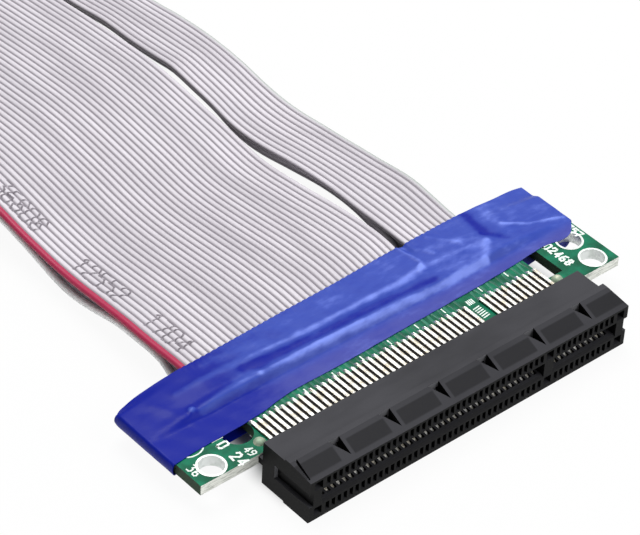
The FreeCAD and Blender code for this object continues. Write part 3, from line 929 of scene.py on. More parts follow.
@dataclass(frozen=True)
class StudioFloor(Finish):
    """White paper that stays white to the camera and keeps the part's shadow.

    The stretch under the board, by shade_across and shade_along, stays dark, as its holes show it.
    """

    colour: Colour = (0.7, 0.7, 0.7, 1.0)
    patch: Colour = (0.74, 0.74, 0.74, 1.0)
    cloud: Grain = Grain(40.0, 2.0)
    roughness: float = 0.9
    lift: float = 0.94
    shade_across: Pair = (-27.0, 29.0)
    shade_along: Pair = (6.0, 30.0)
    fade: float = 2.5

    def beyond(self, wiring: Wiring, axis: str, ends: Pair) -> Socket:
        """Rises from 0 to 1 past both ends of a stretch of an axis.

        Args:
            wiring: the material in work.
            axis: X or Y.
            ends: the stretch.

        Returns:
            The share.
        """
        middle, reach = (ends[0] + ends[1]) / 2, (ends[1] - ends[0]) / 2
        off = wiring.maths("ABSOLUTE", wiring.minus(wiring.along(axis), middle * MM))
        return wiring.spread(off, Ramp(reach - self.fade, reach + self.fade), MM)

    def make(self, wiring: Wiring) -> bpy.types.Material:
        """Mixes in plain white for camera and mirror rays, but not right under the board.

        Args:
            wiring: the empty material.

        Returns:
            The finished one.
        """
        cloud = wiring.noise(self.cloud)
        wiring.finish(wiring.blend(cloud, self.colour, self.patch), self.roughness)
        path = wiring.node("LightPath").outputs
        seen = wiring.maths("MAXIMUM", path["Is Camera Ray"], path["Is Glossy Ray"])
        seen = wiring.maths("MAXIMUM", seen, path["Is Transmission Ray"])
        across = self.beyond(wiring, "X", self.shade_across)
        along = self.beyond(wiring, "Y", self.shade_along)
        seen = wiring.times(seen, wiring.maths("MAXIMUM", across, along))
        glow = wiring.node("Emission")
        glow.inputs["Strength"].default_value = 1.0
        both = wiring.node("MixShader")
        wiring.feed(both.inputs[0], wiring.times(seen, self.lift))
        wiring.feed(both.inputs[1], wiring.surface.outputs[0])
        wiring.feed(both.inputs[2], glow.outputs[0])
        output = wiring.tree.nodes["Material Output"]
        wiring.feed(output.inputs["Surface"], both.outputs[0])
        return wiring.material


@dataclass(frozen=True)
class Wave:
    """Heights of a cable's middle at places along Y, between its level ends."""

    places: tuple[float, ...]
    heights: tuple[float, ...]

    def height(self, y: np.ndarray, start: Pair, stop: Pair) -> np.ndarray:
        """Reads the wave.

        Args:
            y: the places.
            start, stop: place and height of the two level ends.

        Returns:
            The heights.
        """
        stations = [start[0], *self.places, stop[0]]
        return smooth_through(stations, [start[1], *self.heights, stop[1]], y)


@dataclass
class RibbonCable:
    """A flat cable of parallel wires whose two edges wave by themselves.

    It runs level for exit_length at each end. The web between its wires and the rim at its edges
    are half thicknesses, and the drift is how far it moves sideways along its length.
    """

    node: str
    left: Wave
    right: Wave
    finish: Finish
    drift: Wave | None = None
    exit_length: float = 4.2
    web: float = 0.24
    rim: float = 0.03
    row_step: float = 1.5
    section: tuple[float, ...] = (-0.5, -0.42, -0.27, 0.0, 0.27, 0.42)

    def __post_init__(self) -> None:
        """Reads the cable's place from its solid and the boards."""
        box = NodeBox.of(self.node)
        self.first, self.last = box.low[0], box.high[0]
        self.start, self.stop = box.low[1], box.high[1]
        self.wires = round((self.last - self.first - JACKET) / WIRE_PITCH) + 1
        socket, card = NodeBox.of("socket_board"), NodeBox.of("card_edge_board")
        side = Side.UPPER if Side.UPPER.word in self.node else Side.LOWER
        half_board = (socket.high[2] - socket.low[2]) / 2
        lift = (half_board + WIRE_LIFT + JACKET / 2) * side.value
        self.socket_level = socket.middle[2] + lift
        self.card_level = card.middle[2] + lift

    def centre(self, x: np.ndarray, y: np.ndarray) -> np.ndarray:
        """Height of the cable's middle surface: its two edges' waves, blended straight across.

        Args:
            x, y: the places.

        Returns:
            The heights.
        """
        start = (self.start + self.exit_length, self.socket_level)
        stop = (self.stop - self.exit_length, self.card_level)
        share = (x - self.first) / (self.last - self.first)
        left, right = (wave.height(y, start, stop) for wave in (self.left, self.right))
        return (1 - share) * left + share * right

    def rib(self, x: np.ndarray) -> np.ndarray:
        """Half thickness: √(r² - d²) at a distance d from a wire of radius r, or the web.

        Args:
            x: the places across.

        Returns:
            The half thickness.
        """
        radius = JACKET / 2
        from_first = x - self.first - radius
        nearest = np.clip(np.round(from_first / WIRE_PITCH), 0, self.wires - 1)
        off = from_first - nearest * WIRE_PITCH
        round_part = np.sqrt(np.clip(radius**2 - off**2, 0, None))
        inner = (x > self.first + radius) & (x < self.last - radius)
        return np.maximum(round_part, np.where(inner, self.web, self.rim))

    def build(self) -> None:
        """Carries the ribbed section along the cable, in place of the plain solid.

        Both sides lie at the middle surface's height, plus or minus the rib's half thickness.
        """
        middles = self.first + JACKET / 2 + np.arange(self.wires) * WIRE_PITCH
        across = np.clip((middles[:, None] + np.array(self.section)).ravel(), self.first, None)
        across = np.append(across, self.last)
        rows = int((self.stop - self.start) / self.row_step)
        along = np.linspace(self.start, self.stop, rows)
        y, x = np.meshgrid(along, across, indexing="ij")
        middle, half = self.centre(x, y), self.rib(x)
        plan = np.stack([(x - self.first) / WIRE_PITCH, y], -1)
        if self.drift:
            x = x + self.drift.height(y, (self.start, 0.0), (self.stop, 0.0))
        shell = Shell()
        shell.add_slab(grid_points(x, y, middle + half), grid_points(x, y, middle - half), plan)
        shell.build(f"{self.node}_cable", self.finish, Slot.JACKET, (self.node,))


@dataclass(frozen=True)
class Crease:
    """A fold in the tape: how wide, how far up and how pale it is, and its line in plan; its
    paleness paints sheen along the fold, and below 0 paints shade.
    """

    width: float
    rise: float
    # Positive paleness paints sheen along the fold, negative paints shade.
    pale: float
    line: tuple[Pair, ...]

    def strength(self, x: np.ndarray, y: np.ndarray) -> np.ndarray:
        """Falls off beside the line as exp(-|d/w|^2.4), a little flat along its middle.

        Args:
            x, y: the places.

        Returns:
            The strength from 0 to 1.
        """
        return np.exp(-((distance_to_line(x, y, self.line) / self.width) ** 2.4))


@dataclass
class TapeSleeve:
    """Tape wrapped round a board's rear and over the cables that leave it.

    Its front and rear edge are each a row of places along X and a row of places along Y. The climb
    holds the distances of its stations behind rise_start. The closing and gap_start are stretches
    behind cable_start, over which the layers come together and the gap between cables sets in.
    """

    node: str
    board: NodeBox
    front: Profile
    rear: Profile
    creases: tuple[Crease, ...]
    cable_start: float
    rise_start: float
    left_shade: float
    shade_reach: float = 0.4
    cables: tuple[str, ...] = ("ribbon_upper_wide", "ribbon_upper_narrow")
    tent_inset: float = 0.3
    sag: float = 0.85
    film: float = 0.12
    slack: float = 0.03
    climb: tuple[float, ...] = (0.0, 1.2, 2.6, 4.2)
    crest_drop: float = 0.26
    dip: float = 0.02
    closing: Pair = (1.2, 3.0)
    closed_gap: float = 0.06
    scallop_depth: float = 0.07
    scallop_reach: float = 0.8
    gap_depth: float = 0.45
    gap_width: float = 0.6
    gap_start: Pair = (0.5, 3.5)
    wrinkle_depth: float = 0.035
    wrinkle_start: Pair = (0.0, 1.2)
    fold: float = 0.45
    columns: int = 340
    rows: int = 56
    fold_columns: int = 7

    def __post_init__(self) -> None:
        """Reads the sleeve's reach from its solid, and the cables' ends from theirs."""
        box = NodeBox.of(self.node)
        self.left, self.right = box.span
        self.level = self.board.middle[2]
        self.half_board = (self.board.high[2] - self.board.low[2]) / 2
        self.top = box.high[2] - self.level
        self.away = 1 if self.rear[1][0] > self.front[1][0] else -1
        self.spans = [NodeBox.of(cable).span for cable in self.cables]

    def over_cables(self, x: np.ndarray) -> np.ndarray:
        """How much of the cables' height a place has: level over the cables, falling to the ends.

        Args:
            x: the places across.

        Returns:
            The shares from 0 to 1.
        """
        low, high = self.spans[0][0] + self.tent_inset, self.spans[-1][1] - self.tent_inset
        left = np.clip((x - self.left) / (low - self.left), 0, 1)
        right = np.clip((self.right - x) / (self.right - high), 0, 1)
        return np.minimum(left, right) ** self.sag

    @staticmethod
    def wrinkles(x: np.ndarray, y: np.ndarray) -> np.ndarray:
        """Slow waves: sin(0.55x + 0.9y)·sin(0.31x - 0.7y + 1.3) + sin(1.7x + 1.1y)/2.

        Args:
            x, y: the places.

        Returns:
            The waves' heights, about -1.5 to 1.5.
        """
        crossing = np.sin(0.55 * x + 0.9 * y) * np.sin(0.31 * x - 0.7 * y + 1.3)
        return crossing + 0.5 * np.sin(1.7 * x + 1.1 * y)

    def height(self, x: np.ndarray, y: np.ndarray, side: Side) -> np.ndarray:
        """Height of the tape's outside over the board's mid-plane.

        The tape climbs from the board over the soldered wires to the cables. Beside the cables and
        behind the board its two layers come together. Creases, scallops over the wires at the
        open edge, and slow waves are added.

        Args:
            x, y: the places.
            side: the face.

        Returns:
            The heights, always positive.
        """
        on_board = self.half_board + self.film + self.slack
        behind = np.asarray((y - self.cable_start) * self.away, float)
        start = (self.rise_start - self.cable_start) * self.away
        crest = self.top - self.crest_drop
        steps = [on_board, crest, crest - self.dip, self.top]
        climb = smooth_through([start + run for run in self.climb], steps, behind)
        closing = smooth_through(self.closing, [on_board, self.film + self.closed_gap], behind)
        height = closing + (climb - closing) * self.over_cables(x)
        to_edge = (self.edge(self.rear, x) - y) * self.away
        first, last = self.spans[0][0], self.spans[-1][1]
        wires = np.cos(2 * np.pi * (x - first - JACKET / 2) / WIRE_PITCH)
        scallops = self.scallop_depth * (wires - 1) * np.exp(-to_edge / self.scallop_reach)
        height = height + scallops * ((x > first) & (x < last))
        for (_, end), (beginning, _) in zip(self.spans, self.spans[1:]):
            gap = np.exp(-(((x - (end + beginning) / 2) / self.gap_width) ** 2))
            height = height - self.gap_depth * gap * smooth_step(*self.gap_start, behind)
        if side is Side.UPPER:
            for crease in self.creases:
                height = height + crease.rise * crease.strength(x, y)
        wrinkles = self.wrinkle_depth * self.wrinkles(x, y)
        return height + wrinkles * smooth_step(*self.wrinkle_start, to_edge)

    @staticmethod
    def edge(line: Profile, x: np.ndarray) -> np.ndarray:
        """Place along Y of the front or the rear edge.

        Args:
            line: the edge.
            x: the places across.

        Returns:
            The places along Y.
        """
        return smooth_through(*line, x)

    def shade(self, x: np.ndarray, y: np.ndarray) -> np.ndarray:
        """Sum of the creases' painted sheen and shade and a slow change from the left end to 0.

        Args:
            x, y: the places.

        Returns:
            The shade, about -1 to 1.
        """
        share = (x - self.left) / (self.right - self.left)
        total = self.left_shade - self.left_shade * smooth_step(0.0, self.shade_reach, share)
        for crease in self.creases:
            total = total + crease.pale * crease.strength(x, y)
        return total

    def sheet(self, x: np.ndarray, side: Side, inset: float) -> np.ndarray:
        """One sheet's points, at its height and at even shares from the front to the rear edge.

        Args:
            x: the places across.
            side: the face.
            inset: how far inside the tape's outer face the sheet lies.

        Returns:
            The grid of points.
        """
        share = np.linspace(0, 1, self.rows)[:, None]
        across = np.broadcast_to(x, (self.rows, len(x)))
        y = self.edge(self.front, across) * (1 - share) + self.edge(self.rear, across) * share
        z = self.level + side.value * (self.height(across, y, side) - inset)
        return grid_points(across, y, z)

    def folded(self, end: float, outwards: int, inset: float) -> np.ndarray:
        """Points round the fold at one end, from the upper sheet down to the lower one.

        Each fold is half an ellipse: x runs out by w·cos(a) and z is h·sin(a), a from 90° to -90°.

        Args:
            end: where the sheets end.
            outwards: 1 at the right end and -1 at the left.
            inset: how far inside the tape's outer face the fold lies.

        Returns:
            The grid of points.
        """
        turn = np.linspace(np.pi / 2, -np.pi / 2, self.fold_columns + 2)[1:-1]
        start = self.sheet(np.array([end]), Side.UPPER, inset)
        stop = self.sheet(np.array([end]), Side.LOWER, inset)
        middle, half = (start + stop) / 2, (start[..., 2] - stop[..., 2]) / 2
        points = np.repeat(middle, len(turn), axis=1)
        points[..., 0] += outwards * (self.fold - inset) * np.cos(turn)
        points[..., 2] += half * np.sin(turn)
        return points

    def build(self) -> None:
        """Closes both sheets with a fold at each end, in place of the plain solid."""
        flat = np.linspace(self.left + self.fold, self.right - self.fold, self.columns)
        outer, inner = (
            np.concatenate(
                [
                    self.sheet(flat, Side.UPPER, inset),
                    self.folded(flat[-1], 1, inset),
                    self.sheet(flat[::-1], Side.LOWER, inset),
                    self.folded(flat[0], -1, inset)[:, ::-1],
                ],
                axis=1,
            )
            for inset in (0.0, self.film)
        )
        shell = Shell()
        shell.add_sleeve(outer, inner, self.shade(outer[..., 0], outer[..., 1]))
        shell.build(f"{self.node}_film", CreasedFilm("creased_film"), Slot.TAPE, (self.node,))


@dataclass
class SolderRow:
    """Beads of solder over the tails of one contact row, and between them a dark sheet of painted
    shadow with flux patches.

    A knob is the swelling where a tail ends. Each scatter is the range of a random change.
    """

    side: Side
    half_width: float = 0.235
    height: float = 0.37
    overrun: float = 0.25
    knob_place: float = 0.92
    knob_width: float = 0.05
    knob_height: float = 0.11
    knob_reach: Pair = (0.09, 0.07)
    taper: Pair = (0.05, 0.07)
    end_width: float = 0.55
    end_height: float = 0.2
    lift: float = 0.012
    knob_scatter: Pair = (-0.03, 0.02)
    length_scatter: Pair = (-0.035, 0.03)
    width_scatter: Pair = (-0.015, 0.015)
    height_scatter: Pair = (-0.02, 0.03)
    place_scatter: Pair = (-0.02, 0.02)
    rows: int = 13
    columns: int = 7
    seed: int = 5
    half_contact: float = 0.25
    pins_past_key: float = 11.5
    # The sheet between the tails is painted shadow, with patches of burnt flux.
    flux_shade_front: float = 10.1
    flux_shade_rear: float = 14.75
    flux_shade_ragged: float = 0.25
    flux_shade_height: float = 0.13
    flux_shade_beside: float = 0.3
    flux_shade_grid: tuple[int, int] = (8, 90)

    def __post_init__(self) -> None:
        """Finds the row from its solids."""
        self.node = f"tail_solder_{self.side.word}"
        self.box = NodeBox.of(self.node)
        board = NodeBox.of("socket_board")
        self.face = board.high[2] if self.side is Side.UPPER else board.low[2]
        self.pins = self.pin_places()

    def pin_places(self) -> np.ndarray:
        """Places of the pins along X: one pitch apart, with two of them left out at the key.

        Returns:
            The places.
        """
        half = NodeBox.of("contacts_upper").high[0] - self.half_contact
        every = np.arange(-half, half + WIRE_PITCH / 2, WIRE_PITCH)
        key = half - self.pins_past_key * WIRE_PITCH
        return every[np.abs(every - key) > WIRE_PITCH]

    def beads(self) -> None:
        """Builds the beads, in place of the plain solder.

        Along its length a bead is w(y) wide and t(y) high, each with exp(-(d/reach)²) of its knob
        added at a distance d from it. Across, its height is t·(1 - |s|³) of the share s of w.
        """
        rng = np.random.default_rng(self.seed)
        along = np.linspace(0, 1, self.rows)[:, None]
        across = np.linspace(-1, 1, self.columns)[None, :]
        start, stop = self.box.low[1], self.box.high[1] + self.overrun
        nearest_end = np.minimum(along / self.taper[0], (1 - along) / self.taper[1])
        ends = np.clip(nearest_end, 0, 1) ** 0.5
        shell = Shell()
        for middle in self.pins:
            knob = self.knob_place + rng.uniform(*self.knob_scatter)
            length = (stop - start) * (1 + rng.uniform(*self.length_scatter))
            swell, hump = (np.exp(-(((along - knob) / reach) ** 2)) for reach in self.knob_reach)
            width = self.half_width + self.knob_width * swell + rng.uniform(*self.width_scatter)
            width = width * (self.end_width + (1 - self.end_width) * ends)
            height = self.height + self.knob_height * hump + rng.uniform(*self.height_scatter)
            height = height * (self.end_height + (1 - self.end_height) * ends)
            x = middle + width * across + rng.uniform(*self.place_scatter)
            y = start + length * along
            z = self.lift + height * (1 - np.abs(across) ** 3)
            shell.add_slab(
                grid_points(x, y, self.face + self.side.value * z), grid_points(x, y, self.face)
            )
        finish = Metal(
            "bright_solder", colour=srgb(238, 238, 236), patch=srgb(214, 206, 188), roughness=0.32
        )
        shell.build(f"{self.node}_beads", finish, Slot.SOLDER, (self.node,))

    def flux(self) -> None:
        """Builds the dark sheet of painted shadow and flux as two thin slabs, one on each side of
        the key.

        Their rear edge is ragged by sin(3.1x)·sin(1.3x + 1).
        """
        shell = Shell()
        rows, columns = self.flux_shade_grid
        for pins in np.split(self.pins, [np.argmax(np.diff(self.pins)) + 1]):
            x = np.linspace(pins[0] - self.flux_shade_beside, pins[-1] + self.flux_shade_beside, columns)
            rear = self.flux_shade_rear + self.flux_shade_ragged * np.sin(3.1 * x) * np.sin(1.3 * x + 1)
            share = np.linspace(0, 1, rows)[:, None]
            y = share * (rear - self.flux_shade_front) + self.flux_shade_front
            top = self.face + self.side.value * self.flux_shade_height
            shell.add_slab(grid_points(x, y, top), grid_points(x, y, self.face))
        shell.build(f"{self.node}_flux", Flux("burnt_flux_and_shade"), Slot.SOLDER)


# The corners of one line for each plain figure, on a grid one unit wide and two high.
FIGURES = {
    "0": ((0.2, 0), (0.8, 0), (1, 0.3), (1, 1.7), (0.8, 2), (0.2, 2), (0, 1.7), (0, 0.3), (0.2, 0)),
    "1": ((0.2, 1.6), (0.6, 2), (0.6, 0)),
    "2": ((0, 1.6), (0.2, 2), (0.8, 2), (1, 1.7), (1, 1.3), (0, 0.1), (1, 0)),
    "3": ((0, 2), (1, 2), (0.5, 1.2), (0.9, 1), (1, 0.4), (0.7, 0), (0.1, 0)),
    "4": ((0.8, 0), (0.8, 2), (0, 0.6), (1, 0.6)),
    "5": ((1, 2), (0.1, 2), (0, 1.2), (0.8, 1.2), (1, 0.9), (1, 0.3), (0.7, 0), (0, 0)),
    "6": ((0.9, 2), (0.3, 1.8), (0, 1), (0, 0.3), (0.3, 0), (0.8, 0), (1, 0.4), (0.8, 1), (0, 0.9)),
    "7": ((0, 2), (1, 2), (0.4, 0)),
    "8": (
        (0.3, 1.1), (0, 1.5), (0.3, 2), (0.7, 2), (1, 1.5), (0.3, 1),
        (0, 0.5), (0.3, 0), (0.7, 0), (1, 0.5), (0.7, 1.1),
    ),
    "9": ((0.1, 0), (0.7, 0.2), (1, 1), (1, 1.7), (0.7, 2), (0.2, 2), (0, 1.6), (0.2, 1), (1, 1.1)),
}


@dataclass(frozen=True)
class Label:
    """Figures to print: their text, the place of the first, their height, and their pace.

    A blank leaves a space, and the pace is the distance between figures in figure widths.
    """

    text: str
    place: Pair
    height: float
    pace: float


@dataclass
class Printing:
    """Strokes of ink laid on a surface, each a little higher than the last, in turns of seven.

    The figures stand on a line whose heading is in degrees from +X.
    """

    surface: Callable[[np.ndarray, np.ndarray], np.ndarray]
    width: float
    thickness: float = 0.012
    step: float = 0.25
    stagger: float = 0.15
    turns: int = 7
    heading: float = -90.0
    shell: Shell = field(default_factory=Shell)
    laid: int = 0

    def stroke(self, line: Sequence[Sequence[float]]) -> None:
        """Lays one line of straight runs, each a thin strip that follows the surface.

        Args:
            line: the line's corners in plan.
        """
        for start, stop in zip(line, line[1:]):
            a, b = np.array(start, float), np.array(stop, float)
            length = np.hypot(*(b - a))
            ahead = (b - a) / length
            aside = np.array([-ahead[1], ahead[0]]) * self.width / 2
            a, b = a - ahead * self.width / 2, b + ahead * self.width / 2
            count = max(2, int(length / self.step) + 2)
            middle = a + np.linspace(0, 1, count)[:, None] * (b - a)
            plan = middle[:, None, :] + np.linspace(-1, 1, 3)[None, :, None] * aside
            x, y = plan[..., 0], plan[..., 1]
            z = self.surface(x, y)
            self.laid += 1
            lift = self.thickness * (1 + self.stagger * (self.laid % self.turns))
            self.shell.add_slab(
                grid_points(x, y, z + lift), grid_points(x, y, z - self.thickness / 2)
            )

    def figures(self, label: Label, left: float, forward: float = 0.0) -> None:
        """Prints figures one after another along the heading.

        Args:
            label: the figures.
            left: what their place is counted from along X.
            forward: what it is counted from along Y.
        """
        unit = label.height / 2
        turn = math.radians(self.heading)
        right = np.array([math.cos(turn), math.sin(turn)]) * unit
        up = np.array([-math.sin(turn), math.cos(turn)]) * unit
        first = np.array([left + label.place[0], forward + label.place[1]])
        for index, letter in enumerate(label.text):
            if letter in FIGURES:
                pace = index * label.pace
                self.stroke([first + right * (pace + px) + up * py for px, py in FIGURES[letter]])


@dataclass
class BoardPrint:
    """White marks on the socket board's upper face: ticks, figures, a bow and hatching.

    The labels are placed from the left or the right edge, and the bow is an arc of an ellipse.
    The hatching is rows of short strokes across, and then bars that run along the board.
    """

    fine: float = 0.2
    bold: float = 0.3
    tick_every: int = 5
    tick_length: float = 0.8
    tick_rear: float = 16.45
    tick_slant: float = 0.035
    left_bold: Label = Label("10 24", (6.2, 15.9), 1.5, 1.75)
    left_fine: tuple[Label, ...] = (
        Label("36", (0.5, 13.6), 1.25, 1.7),
        Label("49", (8.4, 11.9), 1.1, 1.6),
    )
    right_bold: tuple[Label, ...] = (
        Label("02468", (-7.0, 18.0), 1.25, 1.72),
        Label("1357", (-1.55, 20.2), 1.15, 1.72),
    )
    bow_centre: Pair = (3.2, 16.3)
    bow_radii: Pair = (1.9, 1.5)
    bow_turn: Pair = (205.0, 318.0)
    bow_corners: int = 9
    hatch_rows: Triple = (12.0, 14.5, 0.42)
    hatch_ends: Pair = (12.95, 14.0)
    hatch_slant: float = 0.12
    bar_places: Triple = (13.15, 14.1, 0.3)
    bar_ends: Pair = (15.1, 15.9)
    bar_slant: float = 0.08

    def face(self, x: np.ndarray, y: np.ndarray) -> np.ndarray:
        """The board's upper face, which is level."""
        return np.full(np.shape(x), NodeBox.of("socket_board").high[2])

    def bow(self, left: float) -> np.ndarray:
        """Corners of the bow: the centre and the radii times cos(a) and sin(a).

        Args:
            left: the board's left edge.

        Returns:
            The corners in plan.
        """
        turn = np.linspace(*np.radians(self.bow_turn), self.bow_corners)
        across = left + self.bow_centre[0] + self.bow_radii[0] * np.cos(turn)
        return np.stack([across, self.bow_centre[1] + self.bow_radii[1] * np.sin(turn)], -1)

    def build(self) -> None:
        """Lays out the marks."""
        left, right = NodeBox.of("socket_board").span
        fine = Printing(self.face, self.fine)
        bold = Printing(self.face, self.bold, shell=fine.shell)
        from_right = SolderRow(Side.UPPER).pins[::-1]
        for pin in from_right[self.tick_every - 1 :: self.tick_every]:
            between = pin + WIRE_PITCH / 2
            rear = self.tick_rear + self.tick_slant * between
            fine.stroke([(between, rear - self.tick_length), (between, rear)])
        bold.figures(self.left_bold, left)
        for label in self.left_fine:
            fine.figures(label, left)
        fine.stroke(self.bow(left))
        for label in self.right_bold:
            bold.figures(label, right)
        start, stop = self.hatch_ends
        for y in np.arange(*self.hatch_rows):
            fine.stroke([(start, y), (stop, y + self.hatch_slant)])
        start, stop = self.bar_ends
        for x in np.arange(*self.bar_places):
            fine.stroke([(x, start), (x + self.bar_slant, stop)])
        fine.shell.build("board_marks", Ink("white_ink"), Slot.BOARD)


@dataclass
class BoardTraces:
    """Copper under the lacquer from each tail back to its wire, two of every three jogged.

    Its level top ends at the shoulder, a share of half its width, and falls from there to its foot.
    """

    side: Side
    width: float = 0.42
    shoulder: float = 0.6
    rise: float = 0.03
    foot: float = 0.1
    reach: Pair = (14.9, 20.6)
    rows: int = 8
    jog: float = 0.22
    jog_reach: Pair = (16.2, 17.4)

    def build(self) -> None:
        """Lays a trace behind each tail: x is the pin's place plus the jog's smooth step."""
        row = SolderRow(self.side)
        shell = Shell()
        y = np.linspace(*self.reach, self.rows)[:, None]
        half = self.width / 2 * np.array([-1, -self.shoulder, self.shoulder, 1])
        lift = self.rise * np.array([self.foot, 1, 1, self.foot])
        for index, pin in enumerate(row.pins):
            x = pin + self.jog * (index % 3 - 1) * smooth_step(*self.jog_reach, y) + half
            upper = grid_points(x, y, row.face + self.side.value * lift)
            shell.add_slab(upper, grid_points(x, y, row.face))
        finish = Lacquered("lacquered_copper")
        shell.build(f"board_traces_{self.side.word}", finish, Slot.BOARD)


@dataclass
class CablePrint:
    """Dark figures printed along the first wires of a cable, repeated at an interval."""

    cable: RibbonCable
    width: float = 0.26
    thickness: float = 0.02
    step: float = 0.2
    labels: tuple[Label, ...] = (
        Label("1704", (1.8, 38.6), 3.0, 1.42),
        Label("12552", (1.8, 54.2), 3.0, 1.42),
        Label("36808", (1.8, 72.4), 3.0, 1.42),
    )
    interval: float = 51.8
    repeats: int = 2

    def top(self, x: np.ndarray, y: np.ndarray) -> np.ndarray:
        """Height of the cable's upper side."""
        return self.cable.centre(x, y) + self.cable.rib(x)

    def build(self) -> None:
        """Prints the figures."""
        ink = Printing(self.top, self.width, self.thickness, self.step)
        for turn in range(self.repeats):
            for label in self.labels:
                ink.figures(label, self.cable.first, turn * self.interval)
        finish = Ink("grey_ink", colour=srgb(118, 112, 120), patch=srgb(186, 180, 188))
        ink.shell.build("cable_print", finish, Slot.JACKET)


@dataclass(frozen=True)
class Lamp:
    """A square lamp: its place and its side in metres, and its power in watts."""

    name: str
    place: Triple
    size: float
    power: float


@dataclass
class Studio:
    """White floor, soft lamps and the camera. The floor's half side and the lamps are in metres."""

    azimuth: float = -42.82
    elevation: float = 39.68
    roll: float = 3.42
    distance: float = 407.8
    aim: Triple = (2.29, 33.42, 0.8)
    focal_ratio: float = 2993.6 / 640
    sensor: float = 36.0
    nearest: float = 0.01
    floor_reach: float = 2.5
    lamp_aim: Triple = (0, 0.06, 0)
    lamps: tuple[Lamp, ...] = (
        Lamp("key", (0.12, 0.3, 0.95), 0.6, 9.0),
        Lamp("sheen", (0.75, 0.85, 0.9), 1.0, 2.4),
        Lamp("fill", (0.35, -0.6, 0.5), 0.6, 3.6),
    )
    sky: float = 0.28

    def camera(self) -> None:
        """Sets the camera from its angles about a point near the tape.

        Its axes are worked out from the azimuth and the elevation, and then turned by the roll.
        """
        angles = (self.azimuth, self.elevation, self.roll)
        turn, lift, roll = (math.radians(angle) for angle in angles)
        level = math.cos(lift)
        back = Vector((math.sin(turn) * level, -math.cos(turn) * level, math.sin(lift)))
        sideways = (-back).cross(Vector((0, 0, 1))).normalized()
        upright = sideways.cross(-back)
        right = sideways * math.cos(roll) + upright * math.sin(roll)
        up = upright * math.cos(roll) - sideways * math.sin(roll)
        data = bpy.data.cameras.new("camera")
        data.sensor_width = self.sensor
        data.lens = self.sensor * self.focal_ratio
        data.clip_start = self.nearest
        camera = bpy.data.objects.new("camera", data)
        axes = Matrix((right, up, back)).transposed().to_4x4()
        place = Vector(self.aim) * MM + back * self.distance * MM
        camera.matrix_world = Matrix.Translation(place) @ axes
        bpy.context.scene.collection.objects.link(camera)
        bpy.context.scene.camera = camera

    def hang(self, lamp: Lamp) -> None:
        """Adds a lamp that points at the part.

        Args:
            lamp: the lamp.
        """
        data = bpy.data.lights.new(lamp.name, "AREA")
        data.size = lamp.size
        data.energy = lamp.power
        light = bpy.data.objects.new(lamp.name, data)
        towards = (Vector(self.lamp_aim) - Vector(lamp.place)).to_track_quat("-Z", "Y")
        light.matrix_world = Matrix.Translation(lamp.place) @ towards.to_matrix().to_4x4()
        bpy.context.scene.collection.objects.link(light)

    def floor(self) -> None:
        """Lays the floor under the part's lowest point."""
        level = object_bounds()[0][2]
        turns = ((-1, -1), (1, -1), (1, 1), (-1, 1))
        corners = [(x * self.floor_reach, y * self.floor_reach, level) for x, y in turns]
        mesh = bpy.data.meshes.new("floor")
        mesh.from_pydata(corners, [], [(0, 1, 2, 3)])
        mesh.materials.append(StudioFloor("studio_floor").material())
        floor = bpy.data.objects.new("floor", mesh)
        bpy.context.scene.collection.objects.link(floor)
        floor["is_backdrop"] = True

    def world(self) -> None:
        """Lights everything evenly, and shows white where the floor ends."""
        world = bpy.data.worlds.new("world")
        world.use_nodes = True
        tree = world.node_tree
        soft = tree.nodes["Background"]
        soft.inputs["Color"].default_value = (1, 1, 1, 1)
        soft.inputs["Strength"].default_value = self.sky
        white = tree.nodes.new("ShaderNodeBackground")
        path = tree.nodes.new("ShaderNodeLightPath")
        both = tree.nodes.new("ShaderNodeMixShader")
        sources = (path.outputs["Is Camera Ray"], soft.outputs[0], white.outputs[0])
        for source, target in zip(sources, both.inputs):
            tree.links.new(source, target)
        tree.links.new(both.outputs[0], tree.nodes["World Output"].inputs["Surface"])
        bpy.context.scene.world = world

    def set_up(self) -> None:
        """Builds the whole stage."""
        self.camera()
        for lamp in self.lamps:
            self.hang(lamp)
        self.floor()
        self.world()
        bpy.context.scene.view_settings.view_transform = "Standard"


